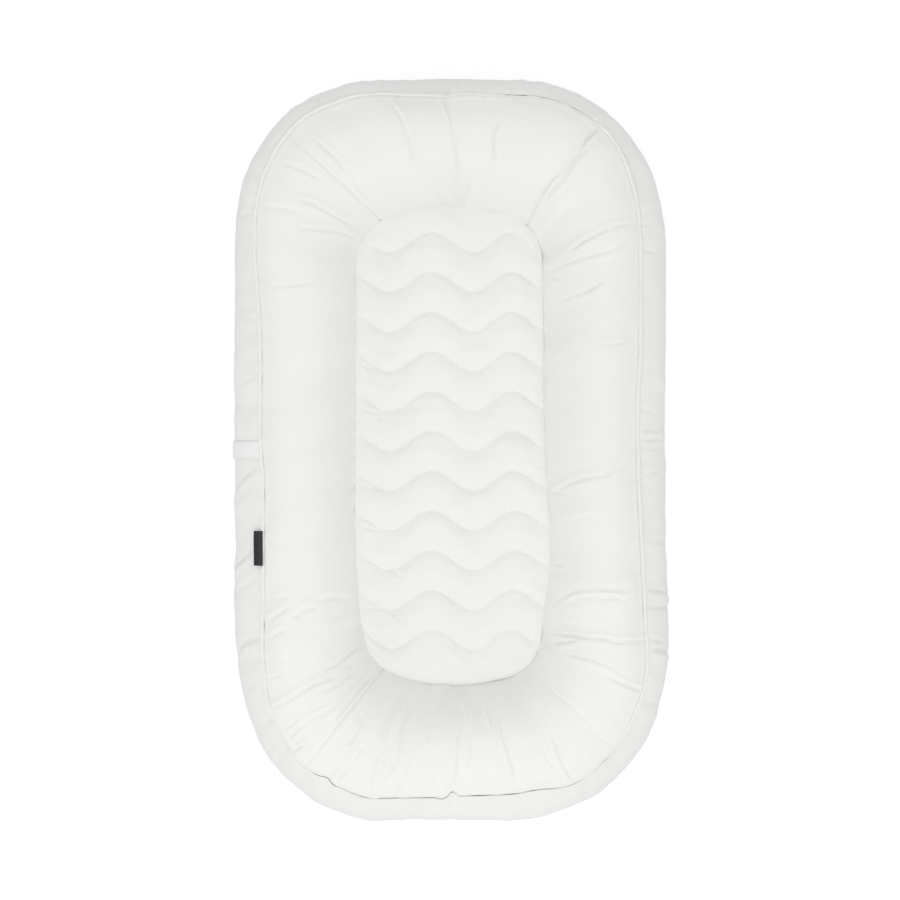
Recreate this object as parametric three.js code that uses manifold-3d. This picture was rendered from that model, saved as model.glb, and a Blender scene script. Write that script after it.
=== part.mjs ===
// An infant lounger: a closed ring bolster round a quilted sleep pad, lying on the floor.
// The cover is four top panels with mitred joins, piping, a boxed side band and a base. The head half
// of the band opens with a zip, to take out the filled ring and the foam core under the pad.
// Millimetres. +Z is up, +Y points to the head end, +X to the right. The origin is on the floor, in
// the middle of the outline.
import * as THREE from "three";
import { mergeVertices } from "three/addons/utils/BufferGeometryUtils.js";
import Module from "manifold-3d";

const wasm = await Module();
wasm.setup();

// Outline where the lounger is widest, seen from above
const overallLength = 780;
const overallWidth = 454;
const widestHeight = 52;
const headCornerAcross = 158;
const headCornerAlong = 190;
const headCornerPower = 2.2;
const footCornerAcross = 168;
const footCornerAlong = 200;
const footCornerPower = 2.15;

// The bolster's section
const crownHeight = 115;
const crownSeamShare = 0.37;
const crownOuterPower = 2.2;
const crownInnerPower = 2.6;
const crownOverSeam = 22;
const topSeamHeight = crownHeight - crownOverSeam;
const topSeamInsetSide = 29;
const topSeamInsetHead = 23;
const topSeamInsetFoot = 32;
const bottomSeamHeight = 11;
const bottomSeamInset = 22;
const baseFlatInset = 46;

// The sleep well, whose rim is the seam between the top panels and the pad
const wellWidth = 202;
const wellLength = 504;
const wellShiftRight = 4;
const wellShiftHead = 3;
const wellSeamHeight = 45;
const wellEndFlat = 11;
const wellCornerAcross = wellWidth / 2 - wellEndFlat;
const wellCornerAlong = 63;
const wellCornerPower = 2.2;

// Cloth, liner and the room between pieces
const coverThickness = 2;
const linerThickness = 0.8;
const fit = 0.35;
const linerSlit = 12;

// Piping along the top seam
const pipingRadius = 2.2;
const pipingLift = 0.6;
const pipingSides = 6;

// Quilted pad and the foam core below it
const coreTop = 33;
const padEdgeHeight = 45;
const padCrownHeight = 54;
const padEdgeRoll = 26;
const channelPitch = 42;
const channelDepth = 5;
const channelLines = 11;
const channelShiftHead = 6;
const waveLength = 89;
const waveRise = 10.5;
const waveCrestRight = -23.5;
const channelRows = 4;
const padColumns = 18;

// Folds of the top panels: height and half width at the outer seam and at the pad
const foldHeight = 4.2;
const foldHalfWidth = 7.5;
const foldHalfWidthAtPad = 5;

// Zip round the head half of the side band
const zipHeight = 46;
const zipValley = 6.5;
const zipMouth = 15;
const zipLip = 2.4;
const tapeThickness = 0.8;
const tapeWidth = 11;
const tapeSlot = 1.8;
const coilThickness = 1.3;
const coilRowWidth = 2.3;
const zipRightEnd = 8;
const stopLength = 4;
const stopThickness = 1.9;
const liningShoulder = 7;

// Tab that covers the zip's left end
const tabWidth = 19;
const tabProud = 0.9;
const tabShiftHead = 0;

// Zip slider and its pull
const sliderLength = 15;
const sliderNoseWidth = 10;
const sliderTailWidth = 7.4;
const sliderPlate = 1.1;
const sliderGap = 0.35;
const sliderParking = 3;
const postLength = 3.2;
const postThickness = 1.1;
const bailWidth = 9.2;
const bailPostWidth = 1.2;
const bailPostLength = 2.6;
const bailBarRadius = 0.6;
const eyeRadius = 1.5;
const eyeClearance = 0.3;
const pullLength = 21;
const pullWidth = 5.4;
const pullThickness = 1.2;
const pullHoleRadius = 1.5;
const hingeShareOfSlider = 0.42;

// Sewn label, left bare
const labelLength = 36;
const labelDrop = 11;
const labelThickness = 0.9;
const labelFromMiddle = 102;

// Steps of the swept forms
const cornerSteps = 6;
const foldSteps = 9;
const straightSteps = 3;
const overrun = 5;
const tiny = 1e-3;

// Main folds of the top panels. Each row holds the station where the fold meets the outer seam, the
// station where it meets the pad's seam, its start and end as shares of the way in, and its height as
// a share of foldHeight.
const rightFoldShares = [
  [-1.39, -1.48, 0.02, 0.92, 1],
  [-1.05, -1.1, 0.02, 0.92, 0.9],
  [-0.77, -0.85, 0.05, 0.95, 0.6],
  [-0.12, -0.22, 0.25, 0.85, 0.5],
  [0.85, 0.79, 0.5, 0.92, 0.5],
  [1.04, 0.99, 0.42, 1, 0.6],
  [1.32, 1.16, 0.05, 0.8, 1],
];
const headFoldShares = [
  [3.2, 2.7, 0.1, 0.7, 0.6],
  [4.13, 3.5, 0.05, 0.8, 0.8],
  [4.86, 5.2, 0.04, 0.7, 0.9],
  [5.75, 5.82, 0.1, 0.5, 0.6],
];
const leftFoldShares = [
  [6.22, 6.14, 0.03, 0.36, 0.5],
  [6.52, 6.34, 0.2, 0.85, 0.8],
  [6.82, 6.56, 0.3, 0.92, 0.8],
  [7.17, 7.07, 0.1, 0.65, 0.4],
  [8.9, 8.78, 0.1, 0.65, 0.5],
  [9.1, 8.95, 0.08, 0.95, 0.7],
  [9.52, 9.46, 0.02, 0.95, 1],
  [9.76, 9.74, 0.04, 0.52, 0.7],
];
const footFoldShares = [
  [10.48, 10.3, 0.04, 0.6, 0.7],
  [10.86, 10.62, 0.1, 0.88, 0.9],
  [12.03, 12.3, 0.08, 0.85, 0.9],
  [13.08, 13.1, 0.15, 0.95, 0.8],
  [13.57, 13.68, 0.02, 0.75, 0.7],
];

// Colours, as seen on the object
const paint = (color, roughness, metalness = 0) =>
  new THREE.MeshStandardMaterial({ color, roughness, metalness });
const coverCotton = paint(0xeeeeec, 0.9);
const quiltCotton = paint(0xf1f1ee, 0.9);
const bandCotton = paint(0xe8e8e7, 0.9);
const tabTape = paint(0xf0eeee, 0.75);
const linerCloth = paint(0xf6f6f6, 0.95);
const fibre = paint(0xfafafa, 1);
const foam = paint(0xf3efdc, 0.95);
const nylon = paint(0xededed, 0.5);
const zinc = paint(0xe2e2e2, 0.4);
const labelSatin = paint(0x2b2b2b, 0.6);

const lounger = new THREE.Group();

function addPiece(name, geometry, material) {
  const piece = new THREE.Mesh(geometry, material);
  piece.name = name;
  lounger.add(piece);
  return piece;
}

// Outlines. A station runs round a ring from 0 at the middle of the right side, by 4 at the head,
// 8 at the middle of the left side and 12 at the foot, to 16.
const halfLength = overallLength / 2;
const fullTurn = 16;
const quarterTurn = 4;
const rightMiddle = 0;
const leftMiddle = 8;

const widestRing = {
  half: overallWidth / 2,
  shiftRight: 0,
  shiftHead: 0,
  head: { reach: halfLength, across: headCornerAcross, along: headCornerAlong, power: headCornerPower },
  foot: { reach: halfLength, across: footCornerAcross, along: footCornerAlong, power: footCornerPower },
};

const wellEnd = {
  reach: wellLength / 2,
  across: wellCornerAcross,
  along: wellCornerAlong,
  power: wellCornerPower,
};
const wellRing = {
  half: wellWidth / 2,
  shiftRight: wellShiftRight,
  shiftHead: wellShiftHead,
  head: wellEnd,
  foot: wellEnd,
};

function insetEnd(end, side, inset) {
  return {
    reach: end.reach - inset,
    across: end.across - side,
    along: end.along - inset,
    power: end.power,
  };
}

function insetRing(ring, side, head = side, foot = side) {
  return {
    half: ring.half - side,
    shiftRight: ring.shiftRight,
    shiftHead: ring.shiftHead,
    head: insetEnd(ring.head, side, head),
    foot: insetEnd(ring.foot, side, foot),
  };
}

// A quarter of a ring: the straight side up to 1, the corner from 1 to 3, the straight end up to 4.
function quarterPoint(half, end, turn) {
  const straightSide = end.reach - end.along;
  const straightEnd = half - end.across;
  if (turn <= 1) return [half, turn * straightSide];
  if (turn >= 3) return [(quarterTurn - turn) * straightEnd, end.reach];
  const angle = ((turn - 1) / 2) * (Math.PI / 2);
  const bend = 2 / end.power;
  return [
    straightEnd + end.across * Math.max(0, Math.cos(angle)) ** bend,
    straightSide + end.along * Math.sin(angle) ** bend,
  ];
}

function ringPoint(ring, station) {
  const turned = ((station % fullTurn) + fullTurn) % fullTurn;
  const quarter = Math.floor(turned / quarterTurn);
  const within = turned - quarter * quarterTurn;
  const turn = quarter % 2 === 0 ? within : quarterTurn - within;
  const end = quarter < 2 ? ring.head : ring.foot;
  const [across, along] = quarterPoint(ring.half, end, turn);
  const right = quarter === 0 || quarter === 3 ? across : -across;
  const ahead = quarter < 2 ? along : -along;
  return new THREE.Vector2(ring.shiftRight + right, ring.shiftHead + ahead);
}

// Station of a distance from the middle of a straight side: positive towards the head.
const headStraight = halfLength - headCornerAlong;
const footStraight = halfLength - footCornerAlong;
const leftStation = (ahead) =>
  leftMiddle - (ahead > 0 ? ahead / headStraight : ahead / footStraight);
const rightStation = (ahead) =>
  rightMiddle + (ahead > 0 ? ahead / headStraight : ahead / footStraight);

const topSeamRing = insetRing(widestRing, topSeamInsetSide, topSeamInsetHead, topSeamInsetFoot);
const bottomSeamRing = insetRing(widestRing, bottomSeamInset);
const baseFlatRing = insetRing(widestRing, baseFlatInset);

// The bolster's surface. Level 0 to 1 is the rounded edge of the base, 1 to 2 the side band, 2 to 3
// the top panels and 3 to 4 the wall of the well.
const mix = (from, to, share) => from + (to - from) * share;
const bandHeight = topSeamHeight - bottomSeamHeight;
const bandLevel = (height) => 1 + (height - bottomSeamHeight) / bandHeight;

function crownProfile(share) {
  if (share < crownSeamShare) {
    const away = (crownSeamShare - share) / crownSeamShare;
    return crownHeight - (crownHeight - topSeamHeight) * away ** crownOuterPower;
  }
  const away = (share - crownSeamShare) / (1 - crownSeamShare);
  return crownHeight - (crownHeight - wellSeamHeight) * away ** crownInnerPower;
}

function surfacePoint(station, level) {
  const place = new THREE.Vector2();
  let height = 0;
  if (level <= 1) {
    place.lerpVectors(ringPoint(baseFlatRing, station), ringPoint(bottomSeamRing, station), level);
    height = bottomSeamHeight * level ** 2;
  } else if (level <= 2) {
    height = mix(bottomSeamHeight, topSeamHeight, level - 1);
    const above = height >= widestHeight;
    const seam = above ? topSeamRing : bottomSeamRing;
    const seamHeight = above ? topSeamHeight : bottomSeamHeight;
    const drawnIn = ((height - widestHeight) / (seamHeight - widestHeight)) ** 2;
    place.lerpVectors(ringPoint(widestRing, station), ringPoint(seam, station), drawnIn);
  } else if (level <= 3) {
    const along = level - 2;
    const share = along * (1.25 - 0.25 * along);
    place.lerpVectors(ringPoint(topSeamRing, station), ringPoint(wellRing, station), share);
    height = crownProfile(share);
  } else {
    place.copy(ringPoint(wellRing, station));
    height = wellSeamHeight * Math.max(0, 4 - level);
  }
  return new THREE.Vector3(place.x, place.y, height);
}

const probeShare = 0.02;

function surfaceNormal(station, level) {
  const low = Math.max(0, level - probeShare);
  const high = Math.min(4, level + probeShare);
  const round = surfacePoint(station + probeShare, level).sub(surfacePoint(station - probeShare, level));
  const up = surfacePoint(station, high).sub(surfacePoint(station, low));
  return round.cross(up).normalize();
}

// A point at a depth below the surface. A negative depth stands proud of it.
function skin(station, level, depth) {
  const point = surfacePoint(station, level);
  if (level >= 4) {
    const wall = surfaceNormal(station, 3.5);
    return point.addScaledVector(wall, -depth).setZ(depth);
  }
  return point.addScaledVector(surfaceNormal(station, level), -depth);
}

// A point of the zip's valley: its depth behind the widest outline and its height over the zip.
const zipLevel = bandLevel(zipHeight);

function zipPoint(station, depth, over) {
  const out = surfaceNormal(station, zipLevel).setZ(0).normalize();
  const point = surfacePoint(station, zipLevel).addScaledVector(out, -depth);
  return point.setZ(zipHeight + over);
}

// Stations from one end to the other, with every change from straight to corner among them
function stationsBetween(from, to, sideSteps, bendSteps) {
  const list = [from];
  for (let span = Math.floor(from); span < to; span += 1) {
    const low = Math.max(from, span);
    const high = Math.min(to, span + 1);
    const turn = ((span % quarterTurn) + quarterTurn) % quarterTurn;
    const steps = turn === 1 || turn === 2 ? bendSteps : sideSteps;
    const count = Math.max(1, Math.round(steps * (high - low)));
    for (let step = 1; step <= count; step += 1) list.push(mix(low, high, step / count));
  }
  return list.filter((station, index) => index === 0 || station - list[index - 1] > tiny);
}

function geometryOf(points, triangles) {
  const geometry = new THREE.BufferGeometry();
  const numbers = points.flatMap((point) => [point.x, point.y, point.z]);
  geometry.setAttribute("position", new THREE.Float32BufferAttribute(numbers, 3));
  geometry.setIndex(triangles);
  geometry.computeVertexNormals();
  return geometry;
}

// Triangles that close an end of a sweep: its section seen along the sweep
function capTriangles(section, first, facesOn) {
  const outward = section[0].clone().sub(section[section.length - 1]).setZ(0);
  const widestPair = section.reduce((best, point) => {
    const away = point.clone().sub(section[0]).setZ(0);
    return away.lengthSq() > best.lengthSq() ? away : best;
  }, outward);
  const axis = widestPair.clone().normalize();
  const centre = new THREE.Vector3(wellShiftRight, wellShiftHead, 0);
  if (axis.dot(section[0].clone().sub(centre)) < 0) axis.negate();
  const flat = section.map((point) => new THREE.Vector2(point.z, point.dot(axis)));
  const faces = THREE.ShapeUtils.triangulateShape(flat, []);
  return faces.flatMap(([a, b, c]) => {
    const ab = flat[b].clone().sub(flat[a]);
    const ac = flat[c].clone().sub(flat[a]);
    const turnsLeft = ab.cross(ac) > 0;
    const ordered = turnsLeft === facesOn ? [a, b, c] : [a, c, b];
    return ordered.map((index) => first + index);
  });
}

// A solid swept round the ring. sectionAt gives the points of its section at a station.
function sweepRound(stations, sectionAt, closed) {
  const rows = stations.map(sectionAt);
  const size = rows[0].length;
  const triangles = [];
  const spans = closed ? rows.length : rows.length - 1;
  for (let row = 0; row < spans; row += 1) {
    const here = row * size;
    const next = ((row + 1) % rows.length) * size;
    for (let index = 0; index < size; index += 1) {
      const after = (index + 1) % size;
      const rises = rows[row][after].z > rows[row][index].z;
      const quad = [here + index, next + index, next + after, here + after];
      const order = rises ? [0, 1, 2, 0, 2, 3] : [1, 2, 3, 1, 3, 0];
      triangles.push(...order.map((corner) => quad[corner]));
    }
  }
  if (!closed) {
    triangles.push(...capTriangles(rows[0], 0, false));
    triangles.push(...capTriangles(rows.at(-1), (rows.length - 1) * size, true));
  }
  return geometryOf(rows.flat(), triangles);
}

// Solids are joined and cut as manifolds.
function solidOf(geometry) {
  const bare = geometry.clone();
  bare.deleteAttribute("normal");
  bare.deleteAttribute("uv");
  const merged = mergeVertices(bare, tiny);
  return new wasm.Manifold(
    new wasm.Mesh({
      numProp: 3,
      vertProperties: merged.attributes.position.array,
      triVerts: new Uint32Array(merged.index.array),
    }),
  );
}

function geometryFrom(solid) {
  const mesh = solid.getMesh();
  const geometry = new THREE.BufferGeometry();
  geometry.setAttribute("position", new THREE.BufferAttribute(mesh.vertProperties, 3));
  geometry.setIndex(new THREE.BufferAttribute(mesh.triVerts, 1));
  geometry.computeVertexNormals();
  return geometry;
}

const valleyFade = 14;
const wholeRing = [
  ...stationsBetween(rightMiddle, leftMiddle, 1, cornerSteps),
  ...stationsBetween(leftStation(-valleyFade), fullTurn + rightStation(-valleyFade), 1, cornerSteps),
];

// Filled ring: fibre filling in a nonwoven liner, which dips behind the zip
const lining = coverThickness + fit;
const tapeReach = tapeSlot / 2 + tapeWidth;
const valleyEdge = tapeReach + fit;
const behindZip = zipValley + tapeThickness + sliderGap + sliderPlate + fit;
const hasZip = (station) => station > rightMiddle - tiny && station < leftMiddle + tiny;
const besideZip = (over) => bandLevel(zipHeight + over);
const shoulderLevels = [besideZip(-valleyEdge - liningShoulder), besideZip(valleyEdge + liningShoulder)];
const crownShares = [0.14, 0.32, 0.5, 0.68, 0.86];

function bolsterSection(station, extra) {
  const depth = lining + extra;
  const valleyPoint = (over) =>
    hasZip(station)
      ? zipPoint(station, behindZip + extra, over)
      : skin(station, besideZip(over), depth);
  return [
    skin(station, 0, depth),
    skin(station, 1, depth),
    skin(station, shoulderLevels[0], depth),
    valleyPoint(-valleyEdge),
    valleyPoint(valleyEdge),
    skin(station, shoulderLevels[1], depth),
    skin(station, 2, depth),
    ...crownShares.map((share) => skin(station, 2 + share, depth)),
    skin(station, 3, depth),
    skin(station, 4, depth),
  ];
}

function linerSection(station) {
  const outer = bolsterSection(station, 0);
  const inner = bolsterSection(station, linerThickness);
  const slitWays = outer[0].clone().sub(outer.at(-1)).normalize();
  const outerEnd = outer.at(-1).clone().addScaledVector(slitWays, linerThickness);
  const innerEnd = inner.at(-1).clone().addScaledVector(slitWays, fit);
  const outerStart = outerEnd.clone().addScaledVector(slitWays, linerSlit);
  const innerStart = innerEnd.clone().addScaledVector(slitWays, linerSlit);
  return [
    outerStart,
    ...outer,
    outerEnd,
    innerEnd,
    ...inner.reverse(),
    innerStart,
  ];
}

addPiece(
  "bolster_filling",
  sweepRound(wholeRing, (station) => bolsterSection(station, linerThickness + fit), true),
  fibre,
);
addPiece("bolster_liner", sweepRound(wholeRing, linerSection, true), linerCloth);

// Foam core under the pad, between the base and the pad
function prismInside(ring, low, high) {
  const points = wholeRing.map((station) => ringPoint(ring, station));
  const geometry = new THREE.ExtrudeGeometry(new THREE.Shape(points), {
    depth: high - low,
    bevelEnabled: false,
  });
  return geometry.translate(0, 0, low);
}

const coreSpread = lining - fit;
addPiece(
  "mattress_core",
  prismInside(insetRing(wellRing, -coreSpread), coverThickness + fit, coreTop),
  foam,
);

// Quilted pad: a crowned cushion with wavy sewn channels, cut to the well's outline
const padRing = insetRing(wellRing, fit);
const padMiddle = wellShiftHead + channelShiftHead;
const waveAt = (x) =>
  waveRise * Math.cos((2 * Math.PI * (x - wellShiftRight - waveCrestRight)) / waveLength);

function insideOutline(x, y) {
  const end = y >= padRing.shiftHead ? padRing.head : padRing.foot;
  const across = Math.abs(x - padRing.shiftRight);
  const along = Math.abs(y - padRing.shiftHead);
  const pastSide = (across - (padRing.half - end.across)) / end.across;
  const pastEnd = (along - (end.reach - end.along)) / end.along;
  if (pastSide <= 0 || pastEnd <= 0) return Math.min(padRing.half - across, end.reach - along);
  const sideShare = pastSide ** end.power;
  const endShare = pastEnd ** end.power;
  const total = sideShare + endShare;
  const span = (end.across * sideShare + end.along * endShare) / total;
  return (1 - total ** (1 / end.power)) * span;
}

function padTop(x, y, channelShare) {
  const inside = THREE.MathUtils.clamp(insideOutline(x, y) / padEdgeRoll, 0, 1);
  const crown = Math.sqrt(1 - (1 - inside) ** 2);
  const puff = Math.abs(Math.sin(Math.PI * channelShare)) ** 0.5;
  return mix(padEdgeHeight, padCrownHeight, crown) - channelDepth * (1 - puff) * (0.35 + 0.65 * crown);
}

function quiltedPad() {
  const rowsBeyond = 2;
  const lastRow = (channelLines - 1 + 2 * rowsBeyond) * channelRows;
  const firstLine = padMiddle - ((channelLines - 1) / 2 + rowsBeyond) * channelPitch;
  const reach = padRing.half + overrun;
  const top = [];
  for (let row = 0; row <= lastRow; row += 1) {
    const channelShare = row / channelRows;
    for (let column = 0; column <= padColumns; column += 1) {
      const x = padRing.shiftRight + mix(-reach, reach, column / padColumns);
      const y = firstLine + channelShare * channelPitch + waveAt(x);
      top.push(new THREE.Vector3(x, y, padTop(x, y, channelShare)));
    }
  }
  const bottom = top.map((point) => point.clone().setZ(coreTop - overrun));
  const width = padColumns + 1;
  const under = top.length;
  const triangles = [];
  const quad = (a, b, c, d) => triangles.push(a, b, c, a, c, d);
  for (let row = 0; row < lastRow; row += 1) {
    for (let column = 0; column < padColumns; column += 1) {
      const a = row * width + column;
      quad(a, a + 1, a + 1 + width, a + width);
      quad(under + a, under + a + width, under + a + 1 + width, under + a + 1);
    }
    const left = row * width;
    const right = left + padColumns;
    quad(left, left + width, under + left + width, under + left);
    quad(right, under + right, under + right + width, right + width);
  }
  const last = lastRow * width;
  for (let column = 0; column < padColumns; column += 1) {
    quad(column, under + column, under + column + 1, column + 1);
    quad(last + column, last + column + 1, under + last + column + 1, under + last + column);
  }
  const block = solidOf(geometryOf([...top, ...bottom], triangles));
  const outline = solidOf(prismInside(padRing, coreTop + fit, crownHeight));
  return geometryFrom(block.intersect(outline));
}

addPiece("quilted_pad", quiltedPad(), quiltCotton);

// Top panels, from the piping over the crown to the pad, with their folds on the outer face
const mitre = quarterTurn / 2;
const seamAllowance = pipingRadius + fit;
const lengthPerLevel = (level) =>
  surfacePoint(rightMiddle, level).distanceTo(surfacePoint(rightMiddle, level + probeShare)) / probeShare;
const panelStart = 2 + seamAllowance / lengthPerLevel(2);
const panelShares = [0, 0.12, 0.26, 0.42, 0.58, 0.74, 0.88, 1];

function lengthPerStation(ring, station) {
  return ringPoint(ring, station + probeShare).distanceTo(ringPoint(ring, station)) / probeShare;
}

function nearCorner(station) {
  const turn = (station + fullTurn) % quarterTurn;
  return turn > 1 - 1 / foldSteps && turn < 3 + 1 / foldSteps;
}

// Columns of a panel: three for each fold, with plain ones between. A column has its own station at
// the outer seam and at the pad, so it runs along its fold.
function panelColumns(from, to, folds) {
  const halfGap = fit / 2 / lengthPerStation(wellRing, mitre);
  const centres = [[from, from], ...folds, [to, to]];
  const columns = [{ outer: from + halfGap, inner: from + halfGap }];
  folds.forEach((fold, at) => {
    const [outer, inner] = fold;
    const room = (side) =>
      Math.min(fold[side] - centres[at][side], centres[at + 2][side] - fold[side]) * 0.42;
    const outerHalf = Math.min(room(0), foldHalfWidth / lengthPerStation(topSeamRing, outer));
    const innerHalf = Math.min(room(1), foldHalfWidthAtPad / lengthPerStation(wellRing, inner));
    columns.push({ outer: outer - outerHalf, inner: inner - innerHalf });
    columns.push({ outer, inner, fold });
    columns.push({ outer: outer + outerHalf, inner: inner + innerHalf });
  });
  columns.push({ outer: to - halfGap, inner: to - halfGap });
  return columns.flatMap((column, at) => {
    if (at === 0) return [column];
    const before = columns[at - 1];
    const apart = Math.max(column.outer - before.outer, column.inner - before.inner);
    const bends = [before.outer, before.inner, column.outer, column.inner].some(nearCorner);
    const count = Math.ceil(apart * (bends ? foldSteps : straightSteps));
    const filled = Array.from({ length: count - 1 }, (_, step) => ({
      outer: mix(before.outer, column.outer, (step + 1) / count),
      inner: mix(before.inner, column.inner, (step + 1) / count),
    }));
    return [...filled, column];
  });
}

function foldLift(fold, share) {
  if (!fold) return 0;
  const [, , start, end, height] = fold;
  const along = (share - (start + end) / 2) / ((end - start) / 2);
  return foldHeight * height * Math.max(0, 1 - along ** 4);
}

function panelPoint(column, level, depth) {
  const station = mix(column.outer, column.inner, level - 2);
  return skin(station, level, depth);
}

function topPanel(from, to, folds) {
  const backLevels = [3, ...crownShares.toReversed().map((share) => 2 + share), panelStart];
  return sweepRound(
    panelColumns(from, to, folds),
    (column) => [
      ...panelShares.map((share) => {
        const level = mix(panelStart, 3, share);
        return panelPoint(column, level, -foldLift(column.fold, level - 2));
      }),
      ...backLevels.map((level) => panelPoint(column, level, coverThickness)),
    ],
    false,
  );
}

const panels = {
  top_panel_right: [-mitre, mitre, rightFoldShares],
  top_panel_head: [mitre, leftMiddle - mitre, headFoldShares],
  top_panel_left: [leftMiddle - mitre, leftMiddle + mitre, leftFoldShares],
  top_panel_foot: [leftMiddle + mitre, fullTurn - mitre, footFoldShares],
};
for (const [name, [from, to, folds]] of Object.entries(panels)) {
  addPiece(name, topPanel(from, to, folds), coverCotton);
}

// Piping in the top seam, all the way round
function pipingSection(station) {
  const out = surfaceNormal(station, 2);
  const centre = surfacePoint(station, 2).addScaledVector(out, pipingLift);
  const up = surfacePoint(station, 2 + probeShare).sub(surfacePoint(station, 2 - probeShare)).normalize();
  return Array.from({ length: pipingSides }, (_, side) => {
    const angle = (2 * Math.PI * side) / pipingSides;
    return centre
      .clone()
      .addScaledVector(out, pipingRadius * Math.cos(angle))
      .addScaledVector(up, pipingRadius * Math.sin(angle));
  });
}

addPiece("top_piping", sweepRound(wholeRing, pipingSection, true), coverCotton);

// Side band: one length round the foot, and an upper and a lower length beside the zip
const bandTop = 2 - seamAllowance / lengthPerLevel(2 - 2 * probeShare);
const bandBottom = 1 + fit / bandHeight;
const bandShares = [0, 0.14, 0.32, 0.5, 0.68, 0.86, 1];
const halfBandShares = [0, 0.3, 0.65, 1];
const bandBackLevels = [
  bandBottom,
  shoulderLevels[0],
  besideZip(-valleyEdge),
  besideZip(valleyEdge),
  shoulderLevels[1],
  bandTop,
];
const tabHeadEdge = tabShiftHead + tabWidth / 2;
const tabFootEdge = tabShiftHead - tabWidth / 2;

function bandSection(station, proud) {
  const outer = bandShares.map((share) => skin(station, mix(bandBottom, bandTop, share), -proud));
  const inner = bandBackLevels.toReversed().map((level) => skin(station, level, coverThickness));
  return [...outer, ...inner];
}

const footBandStations = stationsBetween(
  leftStation(tabFootEdge - fit),
  fullTurn + rightStation(-fit / 2),
  1,
  cornerSteps,
);
addPiece(
  "side_band_foot",
  sweepRound(footBandStations, (station) => bandSection(station, 0), false),
  bandCotton,
);

const zipStations = stationsBetween(
  rightStation(fit / 2),
  leftStation(tabHeadEdge + fit),
  1,
  cornerSteps,
);
const lipOver = zipMouth / 2;
const lipEnd = zipValley - fit;

function upperBandSection(station) {
  const low = besideZip(lipOver);
  const back = besideZip(lipOver + zipLip);
  return [
    ...halfBandShares.map((share) => skin(station, mix(low, bandTop, share), 0)),
    skin(station, bandTop, coverThickness),
    skin(station, shoulderLevels[1], coverThickness),
    skin(station, besideZip(valleyEdge), coverThickness),
    skin(station, back, coverThickness),
    zipPoint(station, lipEnd, lipOver + zipLip),
    zipPoint(station, lipEnd, lipOver),
  ];
}

function lowerBandSection(station) {
  const high = besideZip(-lipOver);
  const back = besideZip(-lipOver - zipLip);
  return [
    ...halfBandShares.map((share) => skin(station, mix(bandBottom, high, share), 0)),
    zipPoint(station, lipEnd, -lipOver),
    zipPoint(station, lipEnd, -lipOver - zipLip),
    skin(station, back, coverThickness),
    skin(station, besideZip(-valleyEdge), coverThickness),
    skin(station, shoulderLevels[0], coverThickness),
    skin(station, bandBottom, coverThickness),
  ];
}

addPiece("zip_band_upper", sweepRound(zipStations, upperBandSection, false), bandCotton);
addPiece("zip_band_lower", sweepRound(zipStations, lowerBandSection, false), bandCotton);

// Zip: two tapes, each with its row of elements, and a stop at the right end
function zipStrip(stations, depthOut, depthIn, low, high) {
  return sweepRound(
    stations,
    (station) => [
      zipPoint(station, depthOut, low),
      zipPoint(station, depthOut, high),
      zipPoint(station, depthIn, high),
      zipPoint(station, depthIn, low),
    ],
    false,
  );
}

const slotEdge = tapeSlot / 2;
const coilFace = zipValley - fit - coilThickness;
const coilStations = stationsBetween(
  rightStation(zipRightEnd),
  leftStation(tabHeadEdge + fit),
  1,
  cornerSteps,
);
for (const [side, way] of [["upper", 1], ["lower", -1]]) {
  const span = (near, far) => (way > 0 ? [near, far] : [-far, -near]);
  addPiece(
    `zip_tape_${side}`,
    zipStrip(zipStations, zipValley, zipValley + tapeThickness, ...span(slotEdge, slotEdge + tapeWidth)),
    nylon,
  );
  addPiece(
    `zip_elements_${side}`,
    zipStrip(coilStations, coilFace, zipValley - fit, ...span(slotEdge, slotEdge + coilRowWidth)),
    nylon,
  );
}

const stopReach = slotEdge + coilRowWidth;
addPiece(
  "zip_end_stop",
  zipStrip(
    [rightStation(zipRightEnd - fit - stopLength), rightStation(zipRightEnd - fit)],
    zipValley - fit - stopThickness,
    zipValley - fit,
    -stopReach,
    stopReach,
  ),
  zinc,
);

// Tab over the zip's left end, from seam to seam
const tabStations = [leftStation(tabHeadEdge), leftStation(tabShiftHead), leftStation(tabFootEdge)];

addPiece(
  "zip_garage_tab",
  sweepRound(tabStations, (station) => bandSection(station, tabProud), false),
  tabTape,
);

// Label sewn into the left seam, lying on the band
const labelStations = [
  leftStation(-labelFromMiddle + labelLength / 2),
  leftStation(-labelFromMiddle - labelLength / 2),
];
const labelLow = bandTop - labelDrop / lengthPerLevel(2 - 2 * probeShare);

function labelSection(station) {
  const shares = [0, 0.5, 1];
  const outer = shares.map((share) =>
    skin(station, mix(labelLow, bandTop, share), -fit - labelThickness),
  );
  const inner = shares.map((share) => skin(station, mix(bandTop, labelLow, share), -fit));
  return [...outer, ...inner];
}

addPiece("side_label", sweepRound(labelStations, labelSection, false), labelSatin);

// Base panel: flat on the floor, with its rim turned up to the bottom seam
function basePanel() {
  const rim = 1 - fit / bandHeight;
  const levels = [0, 0.5, rim];
  const rows = wholeRing.map((station) => [
    ...levels.map((level) => skin(station, level, 0)),
    ...levels.toReversed().map((level) => skin(station, level, coverThickness)),
  ]);
  const size = rows[0].length;
  const points = rows.flat();
  const below = points.length;
  points.push(new THREE.Vector3(0, 0, 0), new THREE.Vector3(0, 0, coverThickness));
  const triangles = [];
  rows.forEach((row, at) => {
    const here = at * size;
    const next = ((at + 1) % rows.length) * size;
    for (let index = 0; index < size - 1; index += 1) {
      triangles.push(here + index, next + index, next + index + 1);
      triangles.push(here + index, next + index + 1, here + index + 1);
    }
    triangles.push(below, next, here);
    triangles.push(below + 1, here + size - 1, next + size - 1);
  });
  return geometryOf(points, triangles);
}

addPiece("base_panel", basePanel(), bandCotton);

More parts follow.
